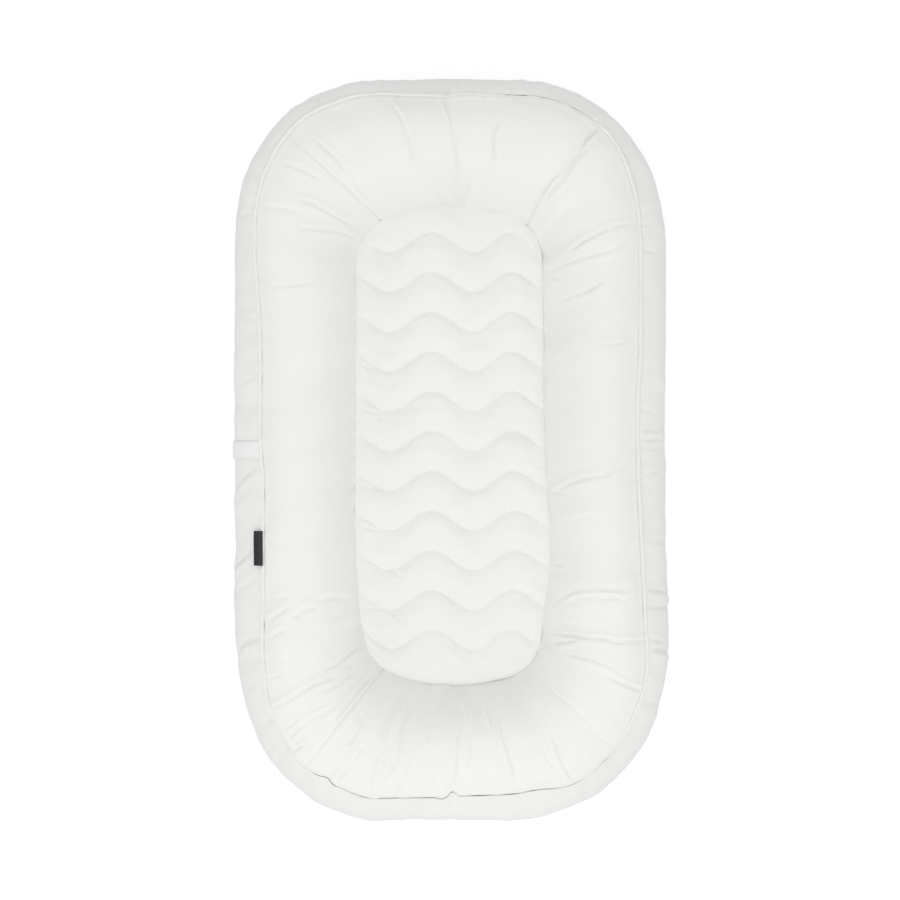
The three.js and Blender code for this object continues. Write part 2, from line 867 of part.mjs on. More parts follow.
// Zip slider, parked beside the tab. It is drawn with +Y along the zip and +X into the lounger.
const sliderStart = tabHeadEdge + fit + sliderParking;
const frontOuter = coilFace - sliderGap - sliderPlate;
const backInner = zipValley + tapeThickness + sliderGap;
const zipLine = surfacePoint(leftMiddle, zipLevel).x;

function sliderPlateAt(depth) {
  const outline = new THREE.Shape();
  outline.moveTo(0, -sliderNoseWidth / 2);
  outline.lineTo(sliderLength * 0.35, -sliderNoseWidth / 2);
  outline.lineTo(sliderLength, -sliderTailWidth / 2);
  outline.lineTo(sliderLength, sliderTailWidth / 2);
  outline.lineTo(sliderLength * 0.35, sliderNoseWidth / 2);
  outline.lineTo(0, sliderNoseWidth / 2);
  outline.closePath();
  const plate = new THREE.ExtrudeGeometry(outline, { depth: sliderPlate, bevelEnabled: false });
  const toZip = new THREE.Matrix4().makeBasis(
    new THREE.Vector3(0, 1, 0),
    new THREE.Vector3(0, 0, 1),
    new THREE.Vector3(1, 0, 0),
  );
  return solidOf(plate.applyMatrix4(toZip).translate(depth, 0, 0));
}

const blockAt = (depth, along, across, sizeX, sizeY, sizeZ) =>
  solidOf(new THREE.BoxGeometry(sizeX, sizeY, sizeZ).translate(depth, along, across));

const hingeAlong = sliderLength * hingeShareOfSlider;
const hingeDepth = frontOuter - sliderGap - eyeRadius;
const bailSpan = bailWidth / 2 - bailPostWidth / 2;
const bailReach = frontOuter - hingeDepth + bailBarRadius;

function zipSlider() {
  const postSpan = backInner - frontOuter;
  const postMiddle = (frontOuter + backInner + sliderPlate) / 2;
  let body = sliderPlateAt(frontOuter)
    .add(sliderPlateAt(backInner))
    .add(blockAt(postMiddle, postLength / 2, 0, postSpan, postLength, postThickness));
  for (const way of [-1, 1]) {
    const middle = hingeDepth - bailBarRadius + (bailReach + sliderPlate) / 2;
    body = body.add(
      blockAt(middle, hingeAlong, way * bailSpan, bailReach + sliderPlate, bailPostLength, bailPostWidth),
    );
  }
  const bar = new THREE.CylinderGeometry(bailBarRadius, bailBarRadius, 2 * bailSpan, 12)
    .rotateX(Math.PI / 2)
    .translate(hingeDepth, hingeAlong, 0);
  return geometryFrom(body.add(solidOf(bar)));
}

// The pull: an eye round the bar and a flat tongue with a hole, lying along the zip
function zipPull() {
  const tongueEnd = pullLength - pullWidth / 2;
  const tongue = new THREE.Shape();
  tongue.moveTo(0, -pullWidth / 2);
  tongue.lineTo(tongueEnd, -pullWidth / 2);
  tongue.absarc(tongueEnd, 0, pullWidth / 2, -Math.PI / 2, Math.PI / 2, false);
  tongue.lineTo(0, pullWidth / 2);
  tongue.closePath();
  const hole = new THREE.Path();
  hole.absarc(tongueEnd, 0, pullHoleRadius, 0, 2 * Math.PI, true);
  tongue.holes.push(hole);
  const plate = new THREE.ExtrudeGeometry(tongue, {
    depth: pullThickness,
    bevelEnabled: false,
    curveSegments: 10,
  });
  const toZip = new THREE.Matrix4().makeBasis(
    new THREE.Vector3(0, 1, 0),
    new THREE.Vector3(0, 0, 1),
    new THREE.Vector3(1, 0, 0),
  );
  plate.applyMatrix4(toZip).translate(-pullThickness / 2, 0, 0);
  const eye = new THREE.CylinderGeometry(eyeRadius, eyeRadius, pullWidth, 20).rotateX(Math.PI / 2);
  const bore = bailBarRadius + eyeClearance;
  const throughHole = new THREE.CylinderGeometry(bore, bore, pullWidth + overrun, 20).rotateX(Math.PI / 2);
  const solid = solidOf(plate).add(solidOf(eye)).subtract(solidOf(throughHole));
  return geometryFrom(solid);
}

const slider = addPiece("zip_slider", zipSlider(), zinc);
slider.position.set(zipLine, sliderStart, zipHeight);
const pull = addPiece("zip_pull", zipPull(), zinc);
pull.position.set(zipLine + hingeDepth, sliderStart + hingeAlong, zipHeight);

export default lounger;
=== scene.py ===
import math

import bmesh
import bpy
import numpy as np
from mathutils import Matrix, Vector


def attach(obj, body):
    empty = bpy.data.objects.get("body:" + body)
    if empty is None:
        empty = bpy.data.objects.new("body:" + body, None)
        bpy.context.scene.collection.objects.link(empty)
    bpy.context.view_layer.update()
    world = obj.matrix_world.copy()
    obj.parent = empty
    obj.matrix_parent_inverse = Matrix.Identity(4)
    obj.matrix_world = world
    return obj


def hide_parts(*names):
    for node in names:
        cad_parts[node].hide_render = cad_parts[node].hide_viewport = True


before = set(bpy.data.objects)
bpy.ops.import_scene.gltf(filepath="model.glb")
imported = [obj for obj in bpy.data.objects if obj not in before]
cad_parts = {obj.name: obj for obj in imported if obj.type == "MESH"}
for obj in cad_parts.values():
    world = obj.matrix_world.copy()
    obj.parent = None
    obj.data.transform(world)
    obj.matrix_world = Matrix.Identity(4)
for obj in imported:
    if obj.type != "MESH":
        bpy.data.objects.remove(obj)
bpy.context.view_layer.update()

# Filled ring. The bolster is a casing of nonwoven cloth, stuffed with loose polyester fibre until it
# stands firm, and closed along a slit underneath. Everything else is sewn or slipped round its shape,
# so its outline and its section come first.


def ring(half_width, shift, head, foot):
    """A closed outline; each end has its reach, its corner across and along, and the corner's power."""
    return {"half": half_width, "shift": shift, "head": head, "foot": foot}


widest_ring = ring(0.227, (0, 0), (0.390, 0.158, 0.190, 2.2), (0.390, 0.168, 0.200, 2.15))
widest_height = 0.052
crown_height = 0.115
crown_seam_share = 0.37
crown_outer_power, crown_inner_power = 2.2, 2.6
top_seam_height = 0.093
top_seam_inset = {"side": 0.029, "head": 0.023, "foot": 0.032}
bottom_seam_height, bottom_seam_inset = 0.011, 0.022
base_flat_inset = 0.046
well_end = (0.252, 0.090, 0.063, 2.2)
well_ring = ring(0.101, (0.004, 0.003), well_end, well_end)
well_seam_height, well_swell = 0.045, 0.004
full_turn = 16
left_middle = 8


def inset_ring(outline, side, head=None, foot=None):
    """The outline drawn in by a distance at its sides, its head and its foot."""

    def end(values, inset):
        reach, across, along, power = values
        return (reach - inset, across - side, along - inset, power)

    head_inset = side if head is None else head
    foot_inset = side if foot is None else foot
    return ring(
        outline["half"] - side,
        outline["shift"],
        end(outline["head"], head_inset),
        end(outline["foot"], foot_inset),
    )


top_seam_ring = inset_ring(
    widest_ring, top_seam_inset["side"], top_seam_inset["head"], top_seam_inset["foot"]
)
bottom_seam_ring = inset_ring(widest_ring, bottom_seam_inset)
base_flat_ring = inset_ring(widest_ring, base_flat_inset)


def end_values(outline, toward_head):
    """An end's reach, its corner across and along, and the corner's power, for each place."""
    return (np.where(toward_head, outline["head"][at], outline["foot"][at]) for at in range(4))


def ring_points(outline, station):
    """Points at stations from 0 at the right side's middle, by 4 at the head, 8 and 12, to 16."""
    turned = np.mod(station, full_turn)
    quarter = np.floor(turned / 4)
    within = turned - quarter * 4
    turn = np.where(quarter % 2 == 0, within, 4 - within)
    toward_head = quarter < 2
    reach, across, along, power = end_values(outline, toward_head)
    angle = np.clip((turn - 1) / 2, 0, 1) * math.pi / 2
    bend = 2 / power
    straight_side, straight_end = reach - along, outline["half"] - across
    corner_x = straight_end + across * np.clip(np.cos(angle), 0, 1) ** bend
    corner_y = straight_side + along * np.clip(np.sin(angle), 0, 1) ** bend
    x = np.where(turn <= 1, outline["half"], np.where(turn >= 3, (4 - turn) * straight_end, corner_x))
    y = np.where(turn <= 1, turn * straight_side, np.where(turn >= 3, reach, corner_y))
    x = np.where((quarter == 0) | (quarter == 3), x, -x) + outline["shift"][0]
    y = np.where(toward_head, y, -y) + outline["shift"][1]
    return np.stack([x, y], axis=-1)


def unit(vectors):
    """The same directions, each one long."""
    return vectors / np.maximum(np.linalg.norm(vectors, axis=-1, keepdims=True), 1e-12)


def ring_outward(station, probe=0.03):
    """Directions square to the ring's widest outline, away from its middle."""
    step = ring_points(widest_ring, station + probe) - ring_points(widest_ring, station - probe)
    return unit(np.stack([step[..., 1], -step[..., 0]], axis=-1))


def bell(away, reach):
    """1 at no distance, falling off smoothly to almost nothing at twice the reach."""
    return np.exp(-((away / reach) ** 2))


def ramp(away, reach, least=0):
    """A distance as a share of a reach, from the least share to 1."""
    return np.clip(away / reach, least, 1)


def soft_table(knots, spread=0.07):
    """A table of millimetres by station, made into one smooth closed curve in metres."""
    count = 1024
    dense = np.linspace(0, full_turn, count, endpoint=False)
    values = np.interp(dense, *zip(*knots), period=full_turn) * 0.001
    away = np.minimum(np.arange(count), count - np.arange(count)) * full_turn / count
    weights = bell(away, spread)
    smooth = np.fft.ifft(np.fft.fft(values) * np.fft.fft(weights / weights.sum())).real
    return lambda station: np.interp(station, dense, smooth, period=full_turn)


seam_out = soft_table(
    [(0, -3.5), (0.3, -3.5), (0.5, -0.8), (1, -0.8), (1.5, 1.5), (2, 4.5), (2.5, 1.2), (3, 0.8), (3.5, 2.5)]
    + [(3.8, 2.6), (4.1, 0.0), (4.5, 0.0), (5, 1.6), (5.5, 2.8), (5.8, 7.5), (6.5, 8.6), (7, 3.8), (7.25, 0)]
    + [(7.5, -1.8), (7.98, -1.2), (8.12, -4.4), (9, -4.2), (9.3, -2.5), (9.55, 2), (9.9, 4.6), (10.1, 5.9)]
    + [(10.3, 2.6), (10.55, 2.2), (10.77, 5.2), (11, 2.8), (11.8, 2.6), (12.1, 1.0), (12.5, 0.4), (13, -0.6)]
    + [(13.27, -3.4), (13.57, 6.2), (13.8, 6.4), (14, 8.0), (14.7, 9.2), (15.1, 4), (15.5, 0.5), (15.8, -2.5)]
)
widest_out = soft_table(
    [(0, -0.8), (1, 1.0), (1.6, 0.4), (2.1, -1.4), (2.6, -2.2), (3, -0.6), (3.5, 0.2), (4.1, 1.2)]
    + [(4.6, -0.2), (5.5, -1.0), (6, 1.6), (6.5, 2.7), (6.85, 0.3), (7, 0), (8.05, 0), (8.5, -0.8)]
    + [(9.2, -2.3), (9.6, -0.2), (10.1, 3.2), (10.6, 2.2), (11, -0.6), (12, -1), (12.5, 0.3), (13.5, -0.2)]
    + [(14, 2.5), (14.4, 5.4), (14.8, 3.9), (15.1, 2.2), (15.7, 0.6)]
)
well_out = soft_table(
    [(0, -5.4), (0.25, -6.8), (0.5, -7.2), (0.75, -8.0), (0.95, -8.6), (1.3, -7.6), (1.7, -5.2), (2.2, -2.4)]
    + [(3, 0), (8, 0), (13.6, -0.4), (13.9, -2.4), (14.1, -3.8), (14.35, -5.6), (14.5, -6.6), (14.7, -8.0)]
    + [(14.89, -9.0), (15.03, -9.0), (15.17, -3.4), (15.4, -0.4), (15.6, 0), (15.72, -2.6), (15.86, -4.4)]
)
foot_draw = soft_table(
    [(0, 0), (8.6, 0), (8.75, -0.3), (8.9, -3.0), (9.1, -7.0), (9.5, -7.0), (9.75, -6.0), (9.97, -4.6)]
    + [(10.2, -3.7), (10.9, -3.2), (12, -2.4), (12.7, -2.0), (13.4, -2.5), (13.8, -0.8), (14.0, 0)]
)
seam_nips = [
    (12.05, -5.0, 0.065),
    (11.86, 1.6, 0.070),
    (10.38, -2.8, 0.050),
    (10.48, 1.2, 0.035),
    (9.96, -1.6, 0.030),
    (4.05, -1.2, 0.035),
    (3.49, -1.0, 0.030),
]
nip_rise = 0.14
bulge_level, well_draw_level = 1.5, 2.3


def pushed_out(station, level):
    """How far the stuffed ring stands out of its even outline, at its seam and at its widest."""
    seam, widest = seam_out(station), widest_out(station)
    for place, reach, spread in seam_nips:
        near = bell(station % full_turn - place, spread)
        seam = seam + 0.001 * reach * near * bell(level - 2, nip_rise)
    upper = ramp(level - bulge_level, 2 - bulge_level)
    below_seam = widest + (seam - widest) * upper * upper * (3 - 2 * upper)
    above_seam = seam * np.clip(3 - level, 0, 1) ** 1.6
    drawn = well_out(station) + foot_draw(station)
    above_seam = above_seam + drawn * ramp(level - well_draw_level, 3 - well_draw_level) ** 2
    return np.where(level < 2, below_seam * ramp(level, bulge_level), above_seam)


def bolster_points(station, level):
    """Points of the bolster's skin. Level 0 to 1 is the rounded edge of the base, 1 to 2 the side
    band, 2 to 3 the top panels and 3 to 4 the wall of the well."""
    station, level = np.broadcast_arrays(np.asarray(station, float), np.asarray(level, float))
    widest, top = ring_points(widest_ring, station), ring_points(top_seam_ring, station)
    bottom, base = ring_points(bottom_seam_ring, station), ring_points(base_flat_ring, station)
    well = ring_points(well_ring, station)
    band_z = bottom_seam_height + (top_seam_height - bottom_seam_height) * np.clip(level - 1, 0, 1)
    above = band_z >= widest_height
    seam_z = np.where(above, top_seam_height, bottom_seam_height)
    drawn_in = ((band_z - widest_height) / (seam_z - widest_height)) ** 2
    band = widest + (np.where(above[..., None], top, bottom) - widest) * drawn_in[..., None]
    along = np.clip(level - 2, 0, 1)
    share = along * (1.25 - 0.25 * along)
    outer_away = ramp(crown_seam_share - share, crown_seam_share)
    inner_away = ramp(share - crown_seam_share, 1 - crown_seam_share)
    outer_drop = (crown_height - top_seam_height) * outer_away**crown_outer_power
    inner_drop = (crown_height - well_seam_height) * inner_away**crown_inner_power
    panel = top + (well - top) * share[..., None]
    edge_level = np.clip(level, 0, 1)
    edge = base + (bottom - base) * edge_level[..., None]
    flat = [level <= 1, level <= 2, level <= 3]
    place = np.select([f[..., None] for f in flat], [edge, band, panel], well)
    height = np.select(
        flat,
        [bottom_seam_height * edge_level**2, band_z, crown_height - outer_drop - inner_drop],
        well_seam_height * np.clip(4 - level, 0, 1),
    )
    height = height + well_swell * ramp(level - 2.6, 0.4) ** 2 * np.clip(4 - level, 0, 1)
    place = place + ring_outward(station) * pushed_out(station, level)[..., None]
    return np.concatenate([place, height[..., None]], axis=-1)


def bolster_normals(station, level, probe=0.02):
    """Directions square to the bolster's skin, out of it."""
    station, level = np.broadcast_arrays(np.asarray(station, float), np.asarray(level, float))
    low, high = np.clip(level - probe, 0, 4), np.clip(level + probe, 0, 4)
    round_it = bolster_points(station + probe, level) - bolster_points(station - probe, level)
    upward = bolster_points(station, high) - bolster_points(station, low)
    return unit(np.cross(round_it, upward))


def skin(station, level, depth=0.0):
    """Points at a depth below the bolster's skin; a negative depth stands proud of it."""
    depth = np.asarray(depth, float)[..., None] if np.ndim(depth) else depth
    return bolster_points(station, level) - bolster_normals(station, level) * depth


def runs(points):
    """Distance run along a row of points, from its first point."""
    steps = np.linalg.norm(np.diff(points, axis=0), axis=-1)
    return np.concatenate([[0], np.cumsum(steps)])


def even_stations(outline, first, last, spacing):
    """Stations from first to last that lie evenly along an outline."""
    dense = np.linspace(first, last, 2400)
    run = runs(ring_points(outline, dense))
    count = max(2, int(round(run[-1] / spacing)) + 1)
    return np.interp(np.linspace(0, run[-1], count), run, dense)


def soft_noise(seed, points, wavelength):
    """A smooth uneven field over points, about 1 high, that is the same on every run."""
    rng = np.random.default_rng(seed)
    total = np.zeros(points.shape[:-1])
    waves = 16
    for _ in range(waves):
        heading = unit(rng.normal(size=3))
        stretch = rng.uniform(0.65, 1.6)
        phase = rng.uniform(0, 2 * math.pi)
        total += np.sin(points @ heading * (2 * math.pi / (wavelength * stretch)) + phase)
    return total / math.sqrt(waves / 2)


def quads(rows, columns, wrap_rows=False, wrap_columns=False, offset=0, flip=False):
    """Faces of a grid of points, whose columns run round the lounger and whose rows run up it."""
    r = np.arange(rows if wrap_rows else rows - 1)
    c = np.arange(columns if wrap_columns else columns - 1)
    r, c = np.meshgrid(r, c, indexing="ij")
    up, over = (r + 1) % rows, (c + 1) % columns
    corners = [r * columns + c, r * columns + over, up * columns + over, up * columns + c]
    faces = np.stack([k.ravel() for k in corners], axis=-1) + offset
    return faces[:, ::-1] if flip else faces


def halves(faces):
    """Each four-sided face as two triangles."""
    return np.concatenate([faces[:, [0, 1, 2]], faces[:, [0, 2, 3]]])


def placed(name, data):
    """A new object of the scene that holds the data."""
    made = bpy.data.objects.new(name, data)
    bpy.context.scene.collection.objects.link(made)
    return made


def piece_mesh(name, points, faces, cloth=None):
    """A smooth mesh object from points in metres, with cloth coordinates where they are given."""
    points, faces = np.asarray(points, np.float32), np.asarray(faces, np.int32)
    mesh = bpy.data.meshes.new(name)
    mesh.vertices.add(len(points))
    mesh.vertices.foreach_set("co", points.ravel())
    mesh.loops.add(faces.size)
    mesh.loops.foreach_set("vertex_index", faces.ravel())
    mesh.polygons.add(len(faces))
    mesh.polygons.foreach_set("loop_start", np.arange(0, faces.size, faces.shape[1], dtype=np.int32))
    if cloth is not None:
        layer = mesh.uv_layers.new(name="cloth")
        layer.data.foreach_set("uv", np.asarray(cloth, np.float32)[faces.ravel()].ravel())
    mesh.update(calc_edges=True)
    mesh.validate()
    mesh.shade_smooth()
    return placed(name, mesh)


def swept_loop(name, sections, wrap=True):
    """A closed body from section loops set side by side: columns run round, rows go round a loop."""
    rows, columns = sections.shape[:2]
    faces = [quads(rows, columns, wrap_rows=True, wrap_columns=wrap)]
    points = [sections.reshape(-1, 3)]
    around = np.concatenate([sections, sections[:1]])[:, columns // 2]
    along, across = runs(sections[0]), runs(around)[:-1]
    cloth = np.stack([a.ravel() for a in np.meshgrid(across, along, indexing="ij")][::-1], axis=-1)
    if not wrap:
        ends = [sections[:, 0].mean(axis=0), sections[:, -1].mean(axis=0)]
        points.append(np.array(ends))
        cloth = np.concatenate([cloth, cloth[:1], cloth[-1:]])
        loop = np.arange(rows) * columns
        after = np.roll(loop, -1)
        first, last = np.full(rows, rows * columns), np.full(rows, rows * columns + 1)
        faces = [halves(f) for f in faces]
        faces.append(np.stack([first, loop, after], axis=-1))
        faces.append(np.stack([last, after + columns - 1, loop + columns - 1], axis=-1))
    return piece_mesh(name, np.concatenate(points), np.concatenate(faces), cloth)


def add_node(tree, kind, inputs=(), **settings):
    """A node with its settings, each input linked to a socket or set to a value."""
    made = tree.nodes.new(kind)
    for key, value in settings.items():
        setattr(made, key, value)
    for key, value in dict(inputs).items():
        if isinstance(value, bpy.types.NodeSocket):
            tree.links.new(value, made.inputs[key])
        else:
            made.inputs[key].default_value = value
    return made


def sums(tree, operation, first, second=0.0, third=0.0):
    """The result of a sum on two or three values."""
    values = {0: first, 1: second, 2: third}
    return add_node(tree, "ShaderNodeMath", values, operation=operation).outputs[0]


def noise(tree, place, scale, detail):
    """Uneven values from 0 to 1 over a place."""
    settings = {"Vector": place, "Scale": scale, "Detail": detail}
    return add_node(tree, "ShaderNodeTexNoise", settings).outputs[0]


def blended(tree, share, low, high):
    """A colour between two, by a share."""
    return add_node(tree, "ShaderNodeMix", {0: share, 6: low, 7: high}, data_type="RGBA").outputs[2]


def stretched(tree, place, factors):
    """A place drawn out along its three directions."""
    return add_node(tree, "ShaderNodeVectorMath", {0: place, 1: factors}, operation="MULTIPLY").outputs[0]


def effect(name, inputs):
    """An empty shader group with named inputs, whose outputs are a colour, a roughness and a height."""
    outputs = [("Color", "NodeSocketColor"), ("Roughness", "NodeSocketFloat"), ("Height", "NodeSocketFloat")]
    group = bpy.data.node_groups.new(name, "ShaderNodeTree")
    for label, kind, value in inputs:
        made = group.interface.new_socket(name=label, in_out="INPUT", socket_type=kind)
        if value is not None:
            made.default_value = value
    for label, kind in outputs:
        group.interface.new_socket(name=label, in_out="OUTPUT", socket_type=kind)
    return group, group.nodes.new("NodeGroupInput").outputs, group.nodes.new("NodeGroupOutput").inputs


def plain_weave():
    """Woven cotton: threads over and under each other, uneven yarn, soft creases and painted shade between
    the threads.
    """
    group, given, out = effect(
        "Plain weave",
        [
            ("Cloth", "NodeSocketVector", None),
            ("Place", "NodeSocketVector", None),
            ("Colour", "NodeSocketColor", (0.8, 0.8, 0.8, 1)),
            ("Shade", "NodeSocketColor", (0.7, 0.7, 0.7, 1)),
            ("Threads", "NodeSocketFloat", 1400.0),
            ("Slub", "NodeSocketFloat", 0.35),
            ("Crease", "NodeSocketFloat", 0.5),
        ],
    )
    parts = add_node(group, "ShaderNodeSeparateXYZ", {0: given["Cloth"]}).outputs
    turn = sums(group, "MULTIPLY", given["Threads"], math.pi)
    warp = sums(group, "SINE", sums(group, "MULTIPLY", parts[0], turn))
    weft = sums(group, "SINE", sums(group, "MULTIPLY", parts[1], turn))
    warp_over = sums(group, "GREATER_THAN", sums(group, "MULTIPLY", warp, weft), 0.0)
    warp_round, weft_round = sums(group, "ABSOLUTE", warp), sums(group, "ABSOLUTE", weft)
    long_warp = sums(group, "MULTIPLY", warp_round, sums(group, "POWER", weft_round, 0.35))
    long_weft = sums(group, "MULTIPLY", weft_round, sums(group, "POWER", warp_round, 0.35))
    threads = add_node(
        group, "ShaderNodeMix", {0: warp_over, 2: long_weft, 3: long_warp}, data_type="FLOAT"
    ).outputs[0]
    yarn = noise(group, stretched(group, given["Cloth"], (900.0, 60.0, 1.0)), 1.0, 2.0)
    soft = noise(group, given["Place"], 55.0, 4.0)
    broad = noise(group, given["Place"], 9.0, 2.0)
    uneven = sums(group, "MULTIPLY", yarn, given["Slub"])
    creased = sums(group, "MULTIPLY", soft, given["Crease"])
    body = sums(group, "ADD", sums(group, "MULTIPLY", threads, 0.35), uneven)
    group.links.new(sums(group, "ADD", body, creased), out["Height"])
    # The colour mixes painted light with the cloth's own tone. The thread crowns are painted lighter and the
    # hollows between the threads are painted in shade. The yarn and the broad noise make the tone uneven.
    lit = sums(group, "ADD", sums(group, "MULTIPLY", threads, 0.3), sums(group, "MULTIPLY", yarn, 0.35))
    thread_shade_and_tone = sums(group, "ADD", lit, sums(group, "MULTIPLY", broad, 0.7))
    group.links.new(blended(group, thread_shade_and_tone, given["Shade"], given["Colour"]), out["Color"])
    group.links.new(sums(group, "MULTIPLY_ADD", yarn, 0.12, 0.8), out["Roughness"])
    return group


def fine_flecks():
    """Fibres or filaments too fine to make one by one: flecks between two colours."""
    group, given, out = effect(
        "Fine flecks",
        [
            ("Place", "NodeSocketVector", None),
            ("Colour", "NodeSocketColor", (0.8, 0.8, 0.8, 1)),
            ("Shade", "NodeSocketColor", (0.7, 0.7, 0.7, 1)),
            ("Scale", "NodeSocketFloat", 1500.0),
            ("Detail", "NodeSocketFloat", 2.0),
            ("Rough", "NodeSocketFloat", 0.5),
            ("Rough span", "NodeSocketFloat", 0.2),
        ],
    )
    flecks = noise(group, given["Place"], given["Scale"], given["Detail"])
    group.links.new(blended(group, flecks, given["Shade"], given["Colour"]), out["Color"])
    rough = sums(group, "MULTIPLY_ADD", flecks, given["Rough span"], given["Rough"])
    group.links.new(rough, out["Roughness"])
    group.links.new(flecks, out["Height"])
    return group


plain_woven, finely_flecked = plain_weave(), fine_flecks()


def new_material(name, values):
    """A material, with values on its shader's own sockets."""
    material = bpy.data.materials.new(name)
    material.use_nodes = True
    tree = material.node_tree
    shader = tree.nodes["Principled BSDF"]
    for key, value in values.items():
        shader.inputs[key].default_value = value
    return material, tree, shader


def place_on_piece(tree):
    """Places in the piece's own frame, which is the lounger's."""
    return add_node(tree, "ShaderNodeTexCoord").outputs["Object"]


def wire_bump(tree, shader, height, bump_depth):
    """Wires a height into the shader as a bump of a depth."""
    bump = add_node(tree, "ShaderNodeBump", {"Height": height, "Distance": bump_depth})
    tree.links.new(bump.outputs["Normal"], shader.inputs["Normal"])


def wire_finish(tree, shader, group, inputs, bump_depth=None, rough=True):
    """Sets a group in a material and wires its colour, roughness and bump into the shader."""
    inputs = {"Place": place_on_piece(tree), **inputs}
    finish = add_node(tree, "ShaderNodeGroup", inputs, node_tree=group).outputs
    tree.links.new(finish["Color"], shader.inputs["Base Color"])
    if rough:
        tree.links.new(finish["Roughness"], shader.inputs["Roughness"])
    if bump_depth:
        wire_bump(tree, shader, finish["Height"], bump_depth)


cotton_gloss = {"Sheen Weight": 0.2, "Sheen Roughness": 0.6, "Specular IOR Level": 0.25}


def woven(name, colour, shade, threads=1400.0, slub=0.35, crease=0.5, bump_depth=0.00025, gloss=cotton_gloss):
    """A woven cloth of its own colour, thread count and unevenness."""
    material, tree, shader = new_material(name, gloss)
    cloth = add_node(tree, "ShaderNodeUVMap", uv_map="cloth").outputs["UV"]
    inputs = {"Cloth": cloth, "Colour": (*colour, 1), "Shade": (*shade, 1)}
    inputs |= {"Threads": threads, "Slub": slub, "Crease": crease}
    wire_finish(tree, shader, plain_woven, inputs, bump_depth)
    return material


def flecked(name, colour, shade, scale, detail, rough, rough_span=None, bump_depth=None):
    """A fibre or filament of its own two colours. Its roughness is plain, or follows its flecks."""
    material, tree, shader = new_material(name, {"Roughness": rough})
    inputs = {"Colour": (*colour, 1), "Shade": (*shade, 1), "Scale": scale, "Detail": detail}
    if rough_span:
        inputs |= {"Rough": rough, "Rough span": rough_span}
    wire_finish(tree, shader, finely_flecked, inputs, bump_depth, rough=bool(rough_span))
    return material


def finish_piece(piece, material, body, slot, *nodes):
    """Gives a piece its material, the body it moves with and the nodes it stands for."""
    piece.data.materials.clear()
    piece.data.materials.append(material)
    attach(piece, body)
    if nodes:
        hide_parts(*nodes)
    return piece


liner_depth = 0.0046
liner_base_depth = 0.0024
liner_thickness = 0.0006
filling_gap = 0.0005
lump_height = 0.0012
under_steps = 10


def casing_loop(station, extra):
    """The ring's section at each station, from the base's edge up, over and down into the well."""
    level = np.concatenate(
        [np.linspace(0, 1, 4), np.linspace(1, 2, 14)[1:], np.linspace(2, 3, 26)[1:], np.linspace(3, 4, 7)[1:]]
    )[:, None]
    rise = np.clip(level, 0, 1)
    depth = liner_base_depth + (liner_depth - liner_base_depth) * rise + extra
    points = skin(station[None, :], level, np.broadcast_to(depth, (len(level), len(station))))
    points[-1, :, 2] = liner_base_depth + extra
    share = np.linspace(0, 1, under_steps + 2)[1:-1, None, None]
    under = points[-1] + (points[0] - points[-1]) * share
    return np.concatenate([points, under])


ring_stations = even_stations(widest_ring, 0, full_turn, 0.008)[:-1]
outer_loop = casing_loop(ring_stations, 0.0)
filling_loop = casing_loop(ring_stations, liner_thickness + filling_gap)
lumps = lump_height * np.clip(soft_noise(11, filling_loop, 0.045), -1, 0)
centre_line = filling_loop.mean(axis=0, keepdims=True)
filling_loop = filling_loop + unit(filling_loop - centre_line) * lumps[..., None]
filling = swept_loop("bolster_filling_fibre", filling_loop)

fibre = flecked(
    "Polyester fibre", (0.93, 0.93, 0.93), (0.86, 0.86, 0.85), 320.0, 6.0, rough=1.0, bump_depth=0.002
)
finish_piece(filling, fibre, "lounger", "fibre_filling", "bolster_filling")

liner_inner = casing_loop(ring_stations, liner_thickness)
slit_at = len(outer_loop) - under_steps
slit_outer = np.concatenate([outer_loop[slit_at + 2 :], outer_loop[:slit_at]])
slit_inner = np.concatenate([liner_inner[slit_at + 2 :], liner_inner[:slit_at]])
liner_section = np.concatenate([slit_outer, slit_inner[::-1]])
liner = swept_loop("bolster_liner_casing", liner_section)
liner_cloth = woven(
    "Nonwoven liner", (0.88, 0.88, 0.88), (0.8, 0.8, 0.8), threads=420.0, slub=0.8, bump_depth=0.0002
)
finish_piece(liner, liner_cloth, "lounger", "liner_cloth", "bolster_liner")


# Foam core. A sheet of open-cell foam cut to the well's outline, laid on the base under the quilted
# pad, and held there by the ring round it.
core_low, core_high = 0.0024, 0.0328
core_spread = 0.0015
core_edge = 0.004
core_give = 0.030


def end_reach(outline, end, x):
    """How far the head or the foot of an outline reaches, at places across it."""
    reach, across, along, power = outline[end]
    past = ramp(np.abs(x) - (outline["half"] - across), across)
    return reach - along + along * (1 - past**power) ** (1 / power)


def well_grid(outline, spacing_x, spacing_y):
    """A grid of places that fills an outline, from its left edge to its right and foot to head."""
    half, (shift_x, shift_y) = outline["half"], outline["shift"]
    columns = int(round(2 * half / spacing_x)) + 1
    rows = int(round(2 * outline["head"][0] / spacing_y)) + 1
    x = np.linspace(-half, half, columns)
    share = np.linspace(-1, 1, rows)[:, None]
    y = np.where(share > 0, share * end_reach(outline, "head", x), share * end_reach(outline, "foot", x))
    return np.stack([np.broadcast_to(x, y.shape) + shift_x, y + shift_y], axis=-1)


def inside_distance(outline, place):
    """About how far each place lies inside an outline."""
    x = np.abs(place[..., 0] - outline["shift"][0])
    y = place[..., 1] - outline["shift"][1]
    reach, across, along, power = end_values(outline, y >= 0)
    y = np.abs(y)
    past_x = np.clip((x - (outline["half"] - across)) / across, 0, None)
    past_y = np.clip((y - (reach - along)) / along, 0, None)
    total = past_x**power + past_y**power
    span = (across * past_x**power + along * past_y**power) / np.maximum(total, 1e-9)
    round_gap = (1 - total ** (1 / power)) * span
    straight_gap = np.minimum(outline["half"] - x, reach - y)
    return np.clip(np.where((past_x > 0) & (past_y > 0), round_gap, straight_gap), 0, None)


